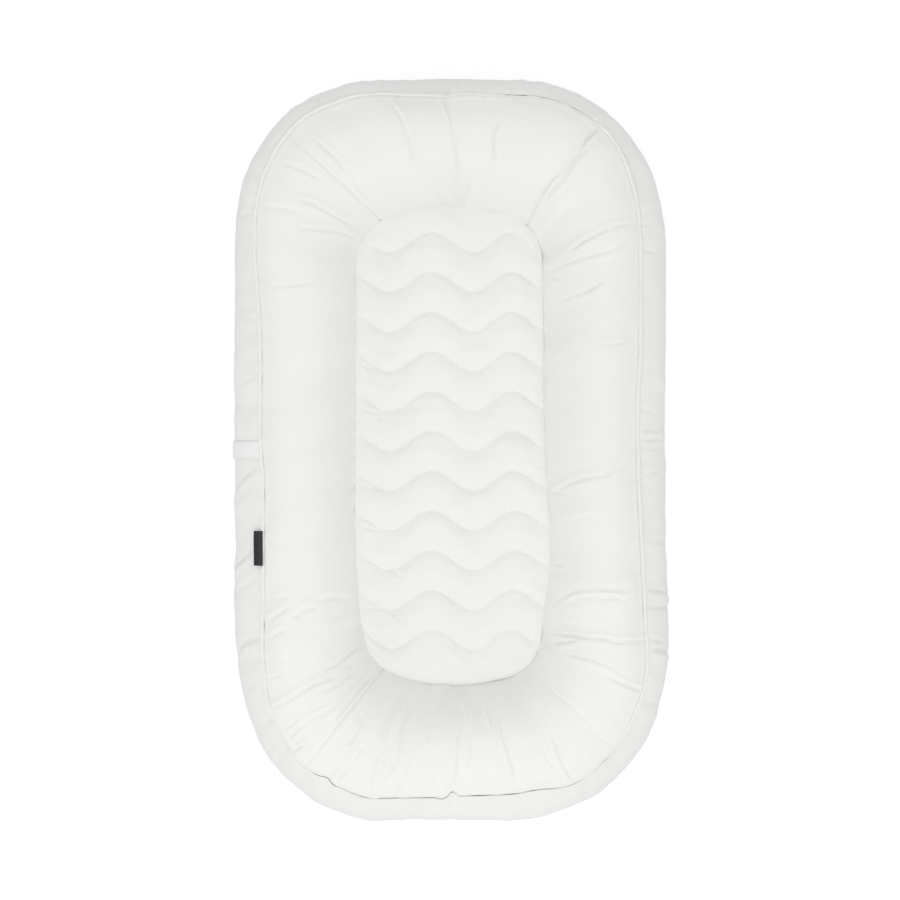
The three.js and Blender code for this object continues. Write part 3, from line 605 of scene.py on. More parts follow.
def follow_wall(place, reach, *tables):
    """Places near the well's wall, moved along with it where tables draw the wall in."""
    station = np.linspace(0, full_turn, 1600, endpoint=False)
    line = ring_points(well_ring, station)
    move = ring_outward(station) * sum(table(station) for table in tables)[:, None]
    moved = place.copy()
    for row in range(len(place)):
        away = np.linalg.norm(place[row][:, None] - line[None], axis=-1)
        nearest = np.argmin(away, axis=1)
        moved[row] += move[nearest] * bell(np.min(away, axis=1), reach)[:, None]
    return moved


def shell(name, front, back, coarse=1):
    """A closed sheet from its outer and its inner grid of points. The inner grid may keep only one in
    so many of its rows and columns."""
    rows, columns = front.shape[:2]
    count = rows * columns
    row_at = np.append(np.arange(0, rows - 1, coarse), rows - 1)
    column_at = np.append(np.arange(0, columns - 1, coarse), columns - 1)
    inner = back[np.ix_(row_at, column_at)]
    lining = quads(len(row_at), len(column_at), offset=count, flip=True)
    faces = [halves(quads(rows, columns)), halves(lining)]
    index = np.arange(count).reshape(rows, columns)
    inner_index = count + np.arange(inner.shape[0] * inner.shape[1]).reshape(inner.shape[:2])
    borders = [
        (index[0], inner_index[0], column_at, False),
        (index[-1], inner_index[-1], column_at, True),
        (index[:, 0], inner_index[:, 0], row_at, True),
        (index[:, -1], inner_index[:, -1], row_at, False),
    ]
    for outer_edge, inner_edge, kept, turned in borders:
        step = np.arange(len(outer_edge) - 1)
        after = outer_edge[step + 1]
        stop = np.searchsorted(kept, step, side="right") - 1
        near = inner_edge[stop]
        fan = np.stack([outer_edge[step], near, after], axis=-1)
        last = np.flatnonzero(np.isin(step + 1, kept))
        beyond = inner_edge[stop[last] + 1]
        close = np.stack([after[last], near[last], beyond], axis=-1)
        wall = np.concatenate([fan, close])
        faces.append(wall[:, ::-1] if turned else wall)
    across, along = np.meshgrid(runs(front[:, columns // 2]), runs(front[rows // 2]), indexing="ij")
    cloth = np.stack([along, across], axis=-1)
    both = [cloth.reshape(-1, 2), cloth[np.ix_(row_at, column_at)].reshape(-1, 2)]
    points = np.concatenate([front.reshape(-1, 3), inner.reshape(-1, 3)])
    return piece_mesh(name, points, np.concatenate(faces), np.concatenate(both))


core_ring = inset_ring(well_ring, -core_spread)
core_place = well_grid(core_ring, 0.006, 0.007)
core_inside = ramp(inside_distance(core_ring, core_place), core_edge)
core_place = follow_wall(core_place, core_give, well_out, foot_draw)
core_round = core_edge * (1 - np.sqrt(1 - (1 - core_inside) ** 2))
core_cells = 0.0003 * soft_noise(21, np.concatenate([core_place, core_place[..., :1]], axis=-1), 0.02)
core_top = np.dstack([core_place, core_high - core_round + core_cells])
core_bottom = np.dstack([core_place, core_low + core_round])
core = shell("mattress_core_foam", core_top, core_bottom)

foam, tree, shader = new_material("Open-cell foam", {"Roughness": 0.95})
cell_place = {"Vector": place_on_piece(tree), "Scale": 900.0}
cells = add_node(tree, "ShaderNodeTexVoronoi", cell_place).outputs["Distance"]
# The foam's own pale yellow is painted darker towards the middle of each pore, as painted shade in its
# hollow.
pore_shaded_foam_colour = blended(tree, cells, (0.78, 0.74, 0.62, 1), (0.9, 0.87, 0.76, 1))
tree.links.new(pore_shaded_foam_colour, shader.inputs["Base Color"])
wire_bump(tree, shader, cells, 0.0008)
finish_piece(core, foam, "lounger", "foam_core", "mattress_core")


# Base panel. One piece of plain cotton under the whole lounger, seamed to the side band where the
# bolster rounds up from the floor.
base_thickness = 0.0012
crease_height, most_crease_over = 0.0007, 0.0009
base_rows = np.concatenate([np.linspace(0.04, 1, 42), np.linspace(1, 2, 7)[1:]])
base_stations = even_stations(widest_ring, 0, full_turn, 0.006)[:-1]


def base_points(depth):
    """The underside from its middle out to the seam; rows below 1 are shares of the flat part."""
    flat = ring_points(base_flat_ring, base_stations)
    rim = np.clip(base_rows[base_rows > 1] - 1, 0, 0.992)[:, None]
    turned_up = skin(base_stations[None, :], rim, np.full((len(rim), len(base_stations)), depth))
    inner = flat[None] * base_rows[base_rows <= 1][:, None, None]
    level_part = np.dstack([inner, np.full(inner.shape[:2], depth)])
    return np.concatenate([level_part, turned_up])


def with_pole(name, front, back):
    """A closed cloth like a dish, whose rows run from a middle point to a rim."""
    rows, columns = front.shape[:2]
    count = rows * columns
    under = quads(rows, columns, wrap_columns=True)
    over = quads(rows, columns, wrap_columns=True, offset=count, flip=True)
    rim = np.arange(columns) + (rows - 1) * columns
    after = np.roll(rim, -1)
    wall = np.stack([rim, after, after + count, rim + count], axis=-1)
    first = np.arange(columns)
    second = np.roll(first, -1)
    pole_front, pole_back = np.full(columns, 2 * count), np.full(columns, 2 * count + 1)
    fan_front = np.stack([pole_front, second, first], axis=-1)
    fan_back = np.stack([pole_back, first + count, second + count], axis=-1)
    faces = np.concatenate([halves(np.concatenate([under, over, wall])), fan_front, fan_back])
    poles = [front[0].mean(axis=0), back[0].mean(axis=0)]
    points = np.concatenate([front.reshape(-1, 3), back.reshape(-1, 3), poles])
    return piece_mesh(name, points, faces, points[:, :2])


def soft_floor_creases(points):
    """Slight creases that lift the cloth off the floor, and none at its rim."""
    centre_share = np.linalg.norm(points[..., :2] / np.array([0.18, 0.34]), axis=-1)
    fade = np.clip(1.15 - centre_share, 0, 1)
    return crease_height * fade * np.clip(soft_noise(31, points, 0.09), 0, None)


base_front, base_back = base_points(0.0), base_points(base_thickness)
base_lift = soft_floor_creases(base_front)
base_front[..., 2] += base_lift
base_back[..., 2] += np.minimum(base_lift, most_crease_over)
base = with_pole("base_cloth", base_front, base_back)
base_cotton = woven("Base cotton", (0.86, 0.86, 0.85), (0.78, 0.78, 0.77), threads=1200.0)
finish_piece(base, base_cotton, "lounger", "base_cotton", "base_panel")


# Side band, foot half. One strip of the cover's cotton round the foot end, from the bottom seam to the
# piping. It is slightly longer than the seams, so it puckers a little along both of them.
seam_tuck, seam_reach = 0.0005, 0.0022
band_cloth_thickness = 0.0012
band_low, band_high = 1.0015, 1.995
tab_half_width = 0.0095
piece_gap = 0.00004
head_straight, foot_straight = 0.200, 0.190
sunk_seam = soft_table(
    [(0, 0), (2.08, 0), (2.24, 2.4), (2.9, 2.3), (3.2, 2.0), (3.4, 0.9), (3.9, 0.8), (4.3, 0)]
    + [(9.4, 0), (9.7, 1.1), (10.0, 1.4), (10.5, 1.8), (13.4, 1.7), (14.05, 1.4), (14.35, 0)]
)


def seam_waves(seed, run, wavelength):
    """Uneven waves along a seam, about 1 high, with narrow hollows and broad rises."""
    rng = np.random.default_rng(seed)
    total = np.zeros_like(run)
    waves = 12
    for _ in range(waves):
        stretch = rng.uniform(0.6, 1.7)
        total += np.sin(run * (2 * math.pi / (wavelength * stretch)) + rng.uniform(0, 2 * math.pi))
    total /= math.sqrt(waves / 2)
    return np.where(total > 0, np.abs(total) ** 0.8, -(np.abs(total) ** 1.3))


def puckers(seed, run, away, wavelength, height, reach):
    """Gathers that run square to a seam and fade with the distance from it."""
    long_reach = reach * (1 + 0.55 * seam_waves(seed + 1, run, wavelength * 3.1))
    return height * seam_waves(seed, run, wavelength) * np.exp(-away / np.clip(long_reach, reach * 0.4, None))


def line_distance(points, line, normals):
    """Signed distance of each point from a line of points, and the share of the line reached."""
    best = np.full(points.shape[:-1], np.inf)
    signed, reached = np.zeros_like(best), np.zeros_like(best)
    total = runs(line)
    for at in range(len(line) - 1):
        start, step = line[at], line[at + 1] - line[at]
        length = np.linalg.norm(step)
        share = np.clip(((points - start) @ step) / length**2, 0, 1)
        away = points - (start + share[..., None] * step)
        distance = np.linalg.norm(away, axis=-1)
        side = np.sign(np.einsum("...k,...k->...", np.cross(step, away), normals))
        nearer = distance < best
        best = np.where(nearer, distance, best)
        signed = np.where(nearer, distance * side, signed)
        reached = np.where(nearer, (total[at] + share * length) / total[-1], reached)
    return signed, reached


def fold_height(points, normals, line, depth, side, width, start_fade=0.25, end_fade=0.3):
    """A crease along a line with a soft shoulder beside it, or a ridge where the depth is negative."""
    signed, reached = line_distance(points, line, normals)
    crease = bell(signed, width)
    beside, broad = 2.7 * width, 1.8 * width
    left, right = bell(signed - beside, broad), bell(signed + beside, broad)
    shoulder = (0.30 + 0.22 * side) * left + (0.30 - 0.22 * side) * right
    fade = ramp(reached, start_fade) * ramp(1 - reached, end_fade)
    fade = np.sin(fade * math.pi / 2) * (0.86 + 0.14 * np.cos(11 * reached + 900 * depth))
    return depth * fade * (shoulder - crease)


def with_close_ends(values):
    """The same values with two more close inside each end, so that a cut edge stays crisp."""
    first, last = values[1] - values[0], values[-1] - values[-2]
    start = values[0] + first * np.array([0, 0.1, 0.35])
    end = values[-1] - last * np.array([0.35, 0.1, 0])
    return np.concatenate([start, values[1:-1], end])


def seam_groove(station, away):
    """How deep a cloth is drawn in beside the piping, and less where the piping has sunk away."""
    return (0.0011 - 0.35 * sunk_seam(station)) * bell(away, 0.0034)


band_pull = soft_table(
    [(0, 0.4), (0.3, 1.2), (2.1, 1.3), (2.4, 0.3), (4, 0), (5.9, 0.4)]
    + [(6.6, 0.4), (7, 0), (14.6, 0), (15, 0.4)]
)


def band_groove(station, away):
    """The groove on the band's side of the piping, deepest where the piping leans in over the panels."""
    return seam_groove(station, away) + band_pull(station) * bell(away, 0.0028)


def band_shape(stations, low, high, seed, creases, rows=46):
    """The outer face of a length of band, and how far its puckers lift it."""
    share = with_close_ends(np.linspace(0, 1, rows))[:, None]
    level = low + (high - 3 * sunk_seam(stations) - low) * share
    grid_station = np.broadcast_to(stations[None, :], level.shape)
    points, normals = bolster_points(grid_station, level), bolster_normals(grid_station, level)
    run = np.broadcast_to(runs(ring_points(widest_ring, stations)), grid_station.shape)
    to_top = np.linalg.norm(points - points[-1:], axis=-1)
    to_bottom = np.linalg.norm(points - points[:1], axis=-1)
    lift = puckers(seed, run, to_top, wavelength=0.026, height=0.0006, reach=0.014)
    lift += puckers(seed + 5, run, to_bottom, wavelength=0.028, height=0.0007, reach=0.018)
    lift += 0.0008 * soft_noise(seed + 9, points, 0.085)
    lift += 0.0003 * soft_noise(seed + 10, points * np.array([1, 1, 0.4]), 0.030)
    for line, depth, side, width in creases:
        shares = np.linspace(0, 1, 16)
        knots = np.linspace(0, 1, len(line))
        station = np.interp(shares, knots, [k[0] for k in line])
        path = bolster_points(station, np.interp(shares, knots, [k[1] for k in line]))
        near = np.abs(grid_station - station.mean()) < 0.45
        lift[near] += fold_height(points[near], normals[near], path, depth, side, width, 0.15, 0.4)
    at_seam = ramp(to_top, 0.004) * ramp(to_bottom, 0.004)
    lift = np.where(lift < 0, lift * at_seam, lift * (0.3 + 0.7 * at_seam))
    lift *= ramp(np.minimum(run, run[:, -1:] - run), 0.010)
    return points, normals, lift, to_top, to_bottom


def raised(points, normals, lift):
    """Points lifted off a skin along its normals."""
    return points + normals * lift[..., None]


def right_station(ahead):
    """The station on the right side's straight run, at a distance ahead of its middle."""
    return np.where(ahead > 0, ahead / head_straight, ahead / foot_straight)


def left_station(ahead):
    """The station on the left side's straight run, at a distance ahead of its middle."""
    return left_middle - right_station(ahead)


band_from, band_to = left_station(-tab_half_width - piece_gap), full_turn + right_station(-piece_gap)
band_stations = with_close_ends(even_stations(widest_ring, band_from, band_to, 0.0022))
foot_band_creases = [
    ([(8.09, 1.97), (8.16, 1.75), (8.24, 1.50)], 0.0018, 1, 0.0022),
    ([(8.20, 1.90), (8.27, 1.70), (8.32, 1.50)], 0.0010, 1, 0.0028),
    ([(8.54, 1.90), (8.62, 1.70), (8.70, 1.45)], 0.0026, 1, 0.0020),
    ([(8.69, 1.95), (8.76, 1.75), (8.84, 1.50)], 0.0016, -1, 0.0024),
    ([(9.02, 1.98), (9.06, 1.80), (9.12, 1.65), (9.20, 1.42)], 0.0024, 1, 0.0026),
    ([(9.34, 1.95), (9.40, 1.70)], 0.0010, 1, 0.0026),
    ([(9.95, 1.98), (9.92, 1.80)], 0.0018, 1, 0.0020),
    ([(13.62, 1.98), (13.66, 1.75)], 0.0014, 1, 0.0020),
    ([(15.86, 1.98), (15.88, 1.75), (15.95, 1.50)], 0.0018, 1, 0.0022),
    ([(15.50, 1.96), (15.50, 1.70), (15.52, 1.50)], 0.0013, -1, 0.0024),
    ([(15.24, 1.97), (15.22, 1.75), (15.20, 1.48)], 0.0026, -1, 0.0019),
    ([(15.14, 1.98), (15.135, 1.75), (15.13, 1.48)], 0.0026, 1, 0.0018),
    ([(14.96, 1.98), (14.94, 1.75)], 0.0018, 1, 0.0018),
    ([(14.90, 1.96), (14.885, 1.70), (14.875, 1.48)], 0.0028, -1, 0.0020),
    ([(14.50, 1.97), (14.56, 1.70)], 0.0012, 1, 0.0022),
]
points, normals, lift, to_top, to_bottom = band_shape(
    band_stations, band_low, band_high, 41, foot_band_creases
)
lift = lift - (band_groove(band_stations, to_top) + 0.7 * seam_tuck * bell(to_bottom, seam_reach))
band_front = raised(points, normals, lift)
band_back = raised(points, normals, lift - band_cloth_thickness)
foot_band = shell("side_band_foot_cloth", band_front, band_back)
# The band's cloth is the cover's cotton painted a little darker all over, as painted shade on the bolster's
# sides. Both zip bands use it too.
band_cotton = woven("Band cotton painted in shade", (0.858, 0.861, 0.840), (0.810, 0.813, 0.792))
finish_piece(foot_band, band_cotton, "lounger", "band_cotton", "side_band_foot")


# Zip bands. Round the head half the band is two strips of the same cotton. Each is folded under along
# the zip and stitched down to its tape, so the two lips stand a finger's width apart.
zip_height = 0.046
lip_over = 0.0075
lip_radius, lip_clear, lip_to_tape = 0.0014, 0.0002, 0.0004
lip_turn_shares = np.array([0.35, 0.6, 0.8, 0.95])[:, None, None]
tape_depth = 0.0065
zip_level = 1 + (zip_height - bottom_seam_height) / (top_seam_height - bottom_seam_height)
zip_left_end = left_station(tab_half_width + piece_gap)
zip_stations = with_close_ends(
    even_stations(widest_ring, right_station(piece_gap), zip_left_end, 0.0014)
)
zip_band_creases = [
    ([(1.13, 1.985), (1.13, 1.90)], 0.0009, 1, 0.0015),
    ([(1.17, 1.985), (1.17, 1.91)], 0.0006, 1, 0.0015),
    ([(1.21, 1.985), (1.215, 1.90)], 0.0009, -1, 0.0015),
    ([(2.19, 1.985), (2.20, 1.90)], 0.0012, 1, 0.0016),
    ([(2.37, 1.985), (2.36, 1.91)], 0.0014, -1, 0.0016),
    ([(2.56, 1.985), (2.57, 1.90)], 0.0014, 1, 0.0016),
    ([(2.69, 1.985), (2.69, 1.92)], 0.0010, 1, 0.0015),
    ([(2.81, 1.985), (2.80, 1.91)], 0.0012, -1, 0.0016),
    ([(3.05, 1.985), (3.06, 1.92)], 0.0012, 1, 0.0016),
    ([(0.052, 1.98), (0.056, 1.78), (0.052, 1.55)], 0.0026, 1, 0.0018),
    ([(0.105, 1.97), (0.11, 1.80)], 0.0012, -1, 0.0018),
    ([(0.21, 1.97), (0.20, 1.78)], 0.0014, 1, 0.0020),
    ([(1.04, 1.98), (1.03, 1.80)], 0.0012, 1, 0.0018),
    ([(3.46, 1.98), (3.52, 1.75)], 0.0016, 1, 0.0020),
    ([(4.05, 1.98), (4.02, 1.78)], 0.0018, -1, 0.0020),
    ([(4.20, 1.97), (4.24, 1.80)], 0.0012, 1, 0.0020),
    ([(5.55, 1.97), (5.60, 1.75)], 0.0014, 1, 0.0024),
    ([(6.70, 1.97), (6.74, 1.72)], 0.0014, -1, 0.0024),
    ([(7.33, 1.97), (7.30, 1.70)], 0.0014, 1, 0.0022),
    ([(7.62, 1.96), (7.66, 1.74)], 0.0010, 1, 0.0024),
]


def level_at(over):
    """The level at a height over the zip's line."""
    return zip_level + over / (top_seam_height - bottom_seam_height)


def zip_points(stations, depth, over):
    """Points of the zip's valley: a depth behind the band's face and a height over the zip's line."""
    outward = bolster_normals(stations, zip_level) * np.array([1, 1, 0])
    points = bolster_points(stations, zip_level) - unit(outward) * np.asarray(depth)[..., None]
    points[..., 2] = zip_height + over
    return points


def zip_band(name, low, high, seed, lip_way, node):
    """A strip of band whose edge beside the zip rolls in and runs back to the tape."""
    upper = lip_way < 0
    creases = zip_band_creases if upper else []
    points, normals, lift, to_top, to_bottom = band_shape(zip_stations, low, high, seed, creases, rows=30)
    far, near = (to_top, to_bottom) if upper else (to_bottom, to_top)
    seam = band_groove(zip_stations, far) if upper else seam_tuck * bell(far, seam_reach)
    tuck = seam + lip_radius * 1.2 * bell(near, 0.0012)
    lift = lift * (0.25 + 0.75 * (1 - bell(near, 0.010))) - tuck
    front = raised(points, normals, lift)
    back = raised(points, normals, lift - band_cloth_thickness)
    lip_row = 0 if upper else -1
    over = -lip_way * (lip_over + lip_clear)
    through = np.array([0, 0, -lip_way * band_cloth_thickness])
    deep = zip_points(zip_stations, tape_depth - lip_to_tape, over)
    turned = front[lip_row] + (deep - front[lip_row]) * lip_turn_shares
    turned_back = back[lip_row] + through
    turned_back = turned_back + (deep + through - turned_back) * lip_turn_shares
    if upper:
        front = np.concatenate([turned[::-1], front])
        back = np.concatenate([turned_back[::-1], back])
    else:
        front = np.concatenate([front, turned])
        back = np.concatenate([back, turned_back])
    strip = shell(name, front, back)
    finish_piece(strip, band_cotton, "lounger", "band_cotton", node)
    return front


upper_strip = zip_band("zip_band_upper_cloth", level_at(lip_over), band_high, 61, -1, "zip_band_upper")
lower_strip = zip_band("zip_band_lower_cloth", band_low, level_at(-lip_over), 81, 1, "zip_band_lower")


# Zip tapes and coils. Two woven polyester tapes are stitched behind the lips of the bands, and a nylon
# coil runs along the facing edge of each. The coils stop at a metal clip at the right-hand end.
tape_thickness = 0.0008
slot_edge = 0.0009
tape_width = 0.011
coil_face, coil_back = 0.00485, 0.00615
coil_reach = 0.00255
coil_centre_gap = 0.00066
tooth_pitch = 0.0016
zip_right_end = 0.008
tape_rows = 9


def zip_tape(name, way, node):
    """A tape hung from one lip, from the slot between the coils to its outer edge."""
    stations = even_stations(widest_ring, right_station(zip_right_end), zip_left_end, 0.004)
    over = np.linspace(slot_edge, slot_edge + tape_width, tape_rows)[::way] * way
    wavy = 0.00012 * soft_noise(91 + way, bolster_points(stations, zip_level), 0.05)
    front = np.stack([zip_points(stations, tape_depth + wavy, o) for o in over])
    back = np.stack([zip_points(stations, tape_depth + tape_thickness + wavy, o) for o in over])
    tape = shell(name, front, back)
    finish_piece(tape, tape_weave, "lounger", "zip_tape", node)


tape_weave = woven(
    "Polyester tape", (0.84, 0.84, 0.835), (0.7, 0.7, 0.7), threads=2100.0, slub=0.15, crease=0.1
)
zip_tape("zip_tape_upper_weave", 1, "zip_tape_upper")
zip_tape("zip_tape_lower_weave", -1, "zip_tape_lower")


def line_repeater():
    """Repeats a small shape along every line of a curve, turned to follow the line."""
    tree = bpy.data.node_groups.new("Repeat along lines", "GeometryNodeTree")
    for label, kind in (
        ("Lines", "NodeSocketGeometry"),
        ("Shape", "NodeSocketObject"),
        ("Pitch", "NodeSocketFloat"),
        ("Finish", "NodeSocketMaterial"),
    ):
        tree.interface.new_socket(name=label, in_out="INPUT", socket_type=kind)
    tree.interface.new_socket(name="Pieces", in_out="OUTPUT", socket_type="NodeSocketGeometry")
    given = tree.nodes.new("NodeGroupInput").outputs
    spots = add_node(
        tree, "GeometryNodeCurveToPoints", {"Curve": given["Lines"], "Length": given["Pitch"]}, mode="LENGTH"
    )
    turned = add_node(
        tree, "FunctionNodeAlignRotationToVector", {"Vector": spots.outputs["Tangent"]}, axis="X"
    )
    shape = add_node(tree, "GeometryNodeObjectInfo", {"Object": given["Shape"]})
    copying = {"Points": spots.outputs["Points"], "Instance": shape.outputs["Geometry"]}
    copying["Rotation"] = turned.outputs["Rotation"]
    copies = add_node(tree, "GeometryNodeInstanceOnPoints", copying)
    real = add_node(tree, "GeometryNodeRealizeInstances", {0: copies.outputs[0]})
    coated = add_node(
        tree, "GeometryNodeSetMaterial", {"Geometry": real.outputs[0], "Material": given["Finish"]}
    )
    ending = tree.nodes.new("NodeGroupOutput")
    tree.links.new(coated.outputs[0], ending.inputs[0])
    return tree


repeat_along_lines = line_repeater()


def repeated(name, lines, shape, pitch, material):
    """A mesh of a small shape set along polylines of points, one every pitch."""
    curve = bpy.data.curves.new(name + "_lines", "CURVE")
    curve.dimensions = "3D"
    for line in lines:
        spline = curve.splines.new("POLY")
        spline.points.add(len(line) - 1)
        spline.points.foreach_set("co", np.column_stack([line, np.ones(len(line))]).ravel())
    path = placed(name + "_path", curve)
    modifier = path.modifiers.new("Repeat", "NODES")
    modifier.node_group = repeat_along_lines
    sockets = {i.name: i.identifier for i in repeat_along_lines.interface.items_tree if i.in_out == "INPUT"}
    modifier[sockets["Shape"]] = shape
    modifier[sockets["Pitch"]] = pitch
    modifier[sockets["Finish"]] = material
    bpy.context.view_layer.update()
    depsgraph = bpy.context.evaluated_depsgraph_get()
    mesh = bpy.data.meshes.new_from_object(path.evaluated_get(depsgraph), depsgraph=depsgraph)
    mesh.name = name
    mesh.materials.clear()
    mesh.shade_smooth()
    bpy.data.objects.remove(path)
    return placed(name, mesh)


def rounded_bar(name, length, width, depth, taper, sides=7):
    """A low, rounded bar along X, whose ends draw in: a stitch of thread or a turn of a coil."""
    turn = np.linspace(0, 2 * math.pi, sides, endpoint=False)
    points = []
    for share, girth in ((-0.5, taper), (-0.38, 1.0), (0.38, 1.0), (0.5, taper)):
        across, up = 0.5 * width * girth * np.cos(turn), 0.5 * depth * girth * np.sin(turn)
        points.append(np.column_stack([np.full(sides, share * length), across, up]))
    rings = len(points)
    count = rings * sides
    points = np.concatenate([*points, [[-0.52 * length, 0, 0], [0.52 * length, 0, 0]]])
    faces = []
    for r in range(rings - 1):
        for s in range(sides):
            t = (s + 1) % sides
            here, there = r * sides, (r + 1) * sides
            faces.append([here + s, there + s, there + t])
            faces.append([here + s, there + t, here + t])
    for s in range(sides):
        t = (s + 1) % sides
        faces.append([count, s, t])
        faces.append([count + 1, count - sides + t, count - sides + s])
    return piece_mesh(name, points, np.array(faces)[:, ::-1])


def coil_turn(way):
    """One turn of the coil: a rounded bar across the zip, with its thicker nose at the slot."""
    bar = rounded_bar("coil_turn", coil_reach, tooth_pitch * 0.52, coil_back - coil_face, 0.62)
    points = np.array([v.co for v in bar.data.vertices])
    nose = ramp(-points[:, 0], coil_reach / 2)
    across = points[:, 1] * (1 + 0.35 * nose)
    turned = np.stack([across, points[:, 2], points[:, 0] * way], axis=-1)
    if way < 0:
        turned[:, 0] *= -1
    bar.data.vertices.foreach_set("co", turned.astype(np.float32).ravel())
    bar.data.update()
    return bar


nylon = flecked(
    "Nylon coil", (0.84, 0.84, 0.83), (0.7, 0.7, 0.69), 1500.0, 2.0, rough=0.3, rough_span=0.2
)

coil_from, coil_to = right_station(zip_right_end + 0.002), left_station(tab_half_width + 0.001)
coil_stations = even_stations(widest_ring, coil_from, coil_to, 0.002)
for way, name, node in (
    (1, "zip_coil_upper", "zip_elements_upper"),
    (-1, "zip_coil_lower", "zip_elements_lower"),
):
    turn = coil_turn(way)
    over = way * (coil_centre_gap + coil_reach / 2)
    line = zip_points(coil_stations, (coil_face + coil_back) / 2, over)
    coil = repeated(name, [line], turn, tooth_pitch, nylon)
    bpy.data.objects.remove(turn)
    finish_piece(coil, nylon, "lounger", "zip_nylon", node)


def edge_wear():
    """Polished metal: fine scratches, handling marks and brighter metal where edges rub."""
    group, given, out = effect(
        "Rubbed metal",
        [
            ("Place", "NodeSocketVector", None),
            ("Colour", "NodeSocketColor", (0.6, 0.6, 0.62, 1)),
            ("Bright", "NodeSocketColor", (0.85, 0.85, 0.86, 1)),
            ("Scratches", "NodeSocketFloat", 1.0),
        ],
    )
    edges = add_node(group, "ShaderNodeNewGeometry").outputs["Pointiness"]
    rubbed = add_node(group, "ShaderNodeMapRange", {0: edges, 1: 0.53, 2: 0.66}).outputs[0]
    fine = noise(group, stretched(group, given["Place"], (400.0, 900.0, 9000.0)), 1.0, 3.0)
    marks = noise(group, given["Place"], 600.0, 3.0)
    group.links.new(blended(group, rubbed, given["Colour"], given["Bright"]), out["Color"])
    group.links.new(sums(group, "MULTIPLY_ADD", marks, 0.22, 0.2), out["Roughness"])
    group.links.new(sums(group, "MULTIPLY", fine, given["Scratches"]), out["Height"])
    return group


rubbed_metal = edge_wear()
zinc, tree, shader = new_material("Nickel-plated zinc", {"Metallic": 1.0})
zinc_tints = {"Colour": (0.47, 0.47, 0.48, 1), "Bright": (0.66, 0.66, 0.67, 1)}
wire_finish(tree, shader, rubbed_metal, zinc_tints, 0.00003)


def rounded_casting(name, node, body, radius):
    """A small metal casting with the rounded edges that its mould gives it."""
    shape = bmesh.new()
    shape.from_mesh(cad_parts[node].data)
    bmesh.ops.remove_doubles(shape, verts=shape.verts, dist=0.000002)
    bmesh.ops.dissolve_limit(
        shape, angle_limit=0.02, verts=shape.verts, edges=shape.edges, use_dissolve_boundaries=False
    )
    sharp = [e for e in shape.edges if len(e.link_faces) == 2 and e.calc_face_angle(0) > 0.9]
    bmesh.ops.bevel(
        shape, geom=sharp, offset=radius, segments=2, profile=0.5, affect="EDGES", clamp_overlap=True
    )
    bmesh.ops.triangulate(shape, faces=shape.faces)
    mesh = bpy.data.meshes.new(name)
    shape.to_mesh(mesh)
    shape.free()
    mesh.shade_smooth()
    mesh.set_sharp_from_angle(angle=0.8)
    return finish_piece(placed(name, mesh), zinc, body, "zip_metal", node)


rounded_casting("zip_end_clip", "zip_end_stop", "lounger", 0.00025)


# Zip slider and pull. The slider is a small zinc casting of two plates joined at its nose. The pull
# hangs from a bar on its front, and swings on it.
rounded_casting("zip_slider_casting", "zip_slider", "slider", 0.00022)
rounded_casting("zip_pull_tag", "zip_pull", "pull", 0.0003)


# Stitching. The lips of the zip bands are sewn down to the zip's tapes in polyester thread, with one row
# of lockstitch on each side of the zip.
stitch_pitch, tab_stitch_pitch, quilt_stitch_pitch = 0.0033, 0.0029, 0.0034
stitch_length, stitch_width = 0.0027, 0.00052
lip_row = 8
lip_thread_proud, tab_thread_proud, quilt_thread_proud = 0.00008, 0.0001, 0.00012

thread_colours = (0.9, 0.9, 0.89), (0.76, 0.76, 0.75)
thread = flecked("Polyester thread", *thread_colours, 2600.0, 2.0, 0.5, rough_span=0.25, bump_depth=0.0001)
stitch_shape = rounded_bar("thread_stitch", stitch_length, stitch_width, stitch_width, 0.55, sides=6)


def thread_rows(name, lines, slot, pitch=stitch_pitch):
    """Rows of lockstitch along lines that lie on a cloth."""
    rows = repeated(name, lines, stitch_shape, pitch, thread)
    return finish_piece(rows, thread, "lounger", slot)


lip_rows = [upper_strip[lip_row, 2:-2], lower_strip[-1 - lip_row, 2:-2]]
lip_outward = bolster_normals(zip_stations[2:-2], zip_level) * lip_thread_proud
thread_rows("zip_topstitching", [row + lip_outward for row in lip_rows], "band_cotton")


# Tab across the left edge. A folded strip of tape covers the closed end of the zip, from the bottom seam
# to the piping. It is stitched down along both of its long edges.
tab_proud = 0.0016
tab_thickness = 0.0013
tab_rows, tab_count = 60, 25
tab_columns = np.linspace(-1, 1, tab_count)
tab_levels = np.linspace(1.0015, 1.990, tab_rows)[:, None]

tab_across = tab_columns * tab_half_width
tab_station = np.broadcast_to(left_station(tab_across)[None, :], (tab_rows, tab_count))
tab_points, tab_normals = bolster_points(tab_station, tab_levels), bolster_normals(tab_station, tab_levels)
tab_ends = np.linalg.norm(tab_points - tab_points[-1:], axis=-1)
tab_foot = np.linalg.norm(tab_points - tab_points[:1], axis=-1)
tab_edge = np.abs(tab_columns)[None, :]
tab_rise = tab_proud - 0.0005 * tab_edge**14 + 0.0003 * (1 - tab_edge**2)
tab_rise = tab_rise - 0.00022 * bell(tab_edge - 0.8, 0.055)
tab_rise = tab_rise + 0.00025 * soft_noise(101, tab_points, 0.03)
tab_lift = tab_rise - (0.0008 * bell(tab_ends, 0.002) + 0.0006 * bell(tab_foot, 0.002))
tab_front = raised(tab_points, tab_normals, tab_lift)
tab_back = raised(tab_points, tab_normals, tab_lift - tab_thickness)
tab = shell("zip_garage_tape", tab_front, tab_back)
tab_weave = woven(
    "Folded tape", (0.90, 0.888, 0.882), (0.86, 0.842, 0.838), threads=1700.0, slub=0.2, crease=0.3
)
finish_piece(tab, tab_weave, "lounger", "tab_tape", "zip_garage_tab")
tab_face = tab_front + tab_normals * tab_thread_proud
tab_stitch_lines = [tab_face[3:-3, column] for column in (2, -3)]
thread_rows("tab_topstitching", tab_stitch_lines, "tab_tape", tab_stitch_pitch)


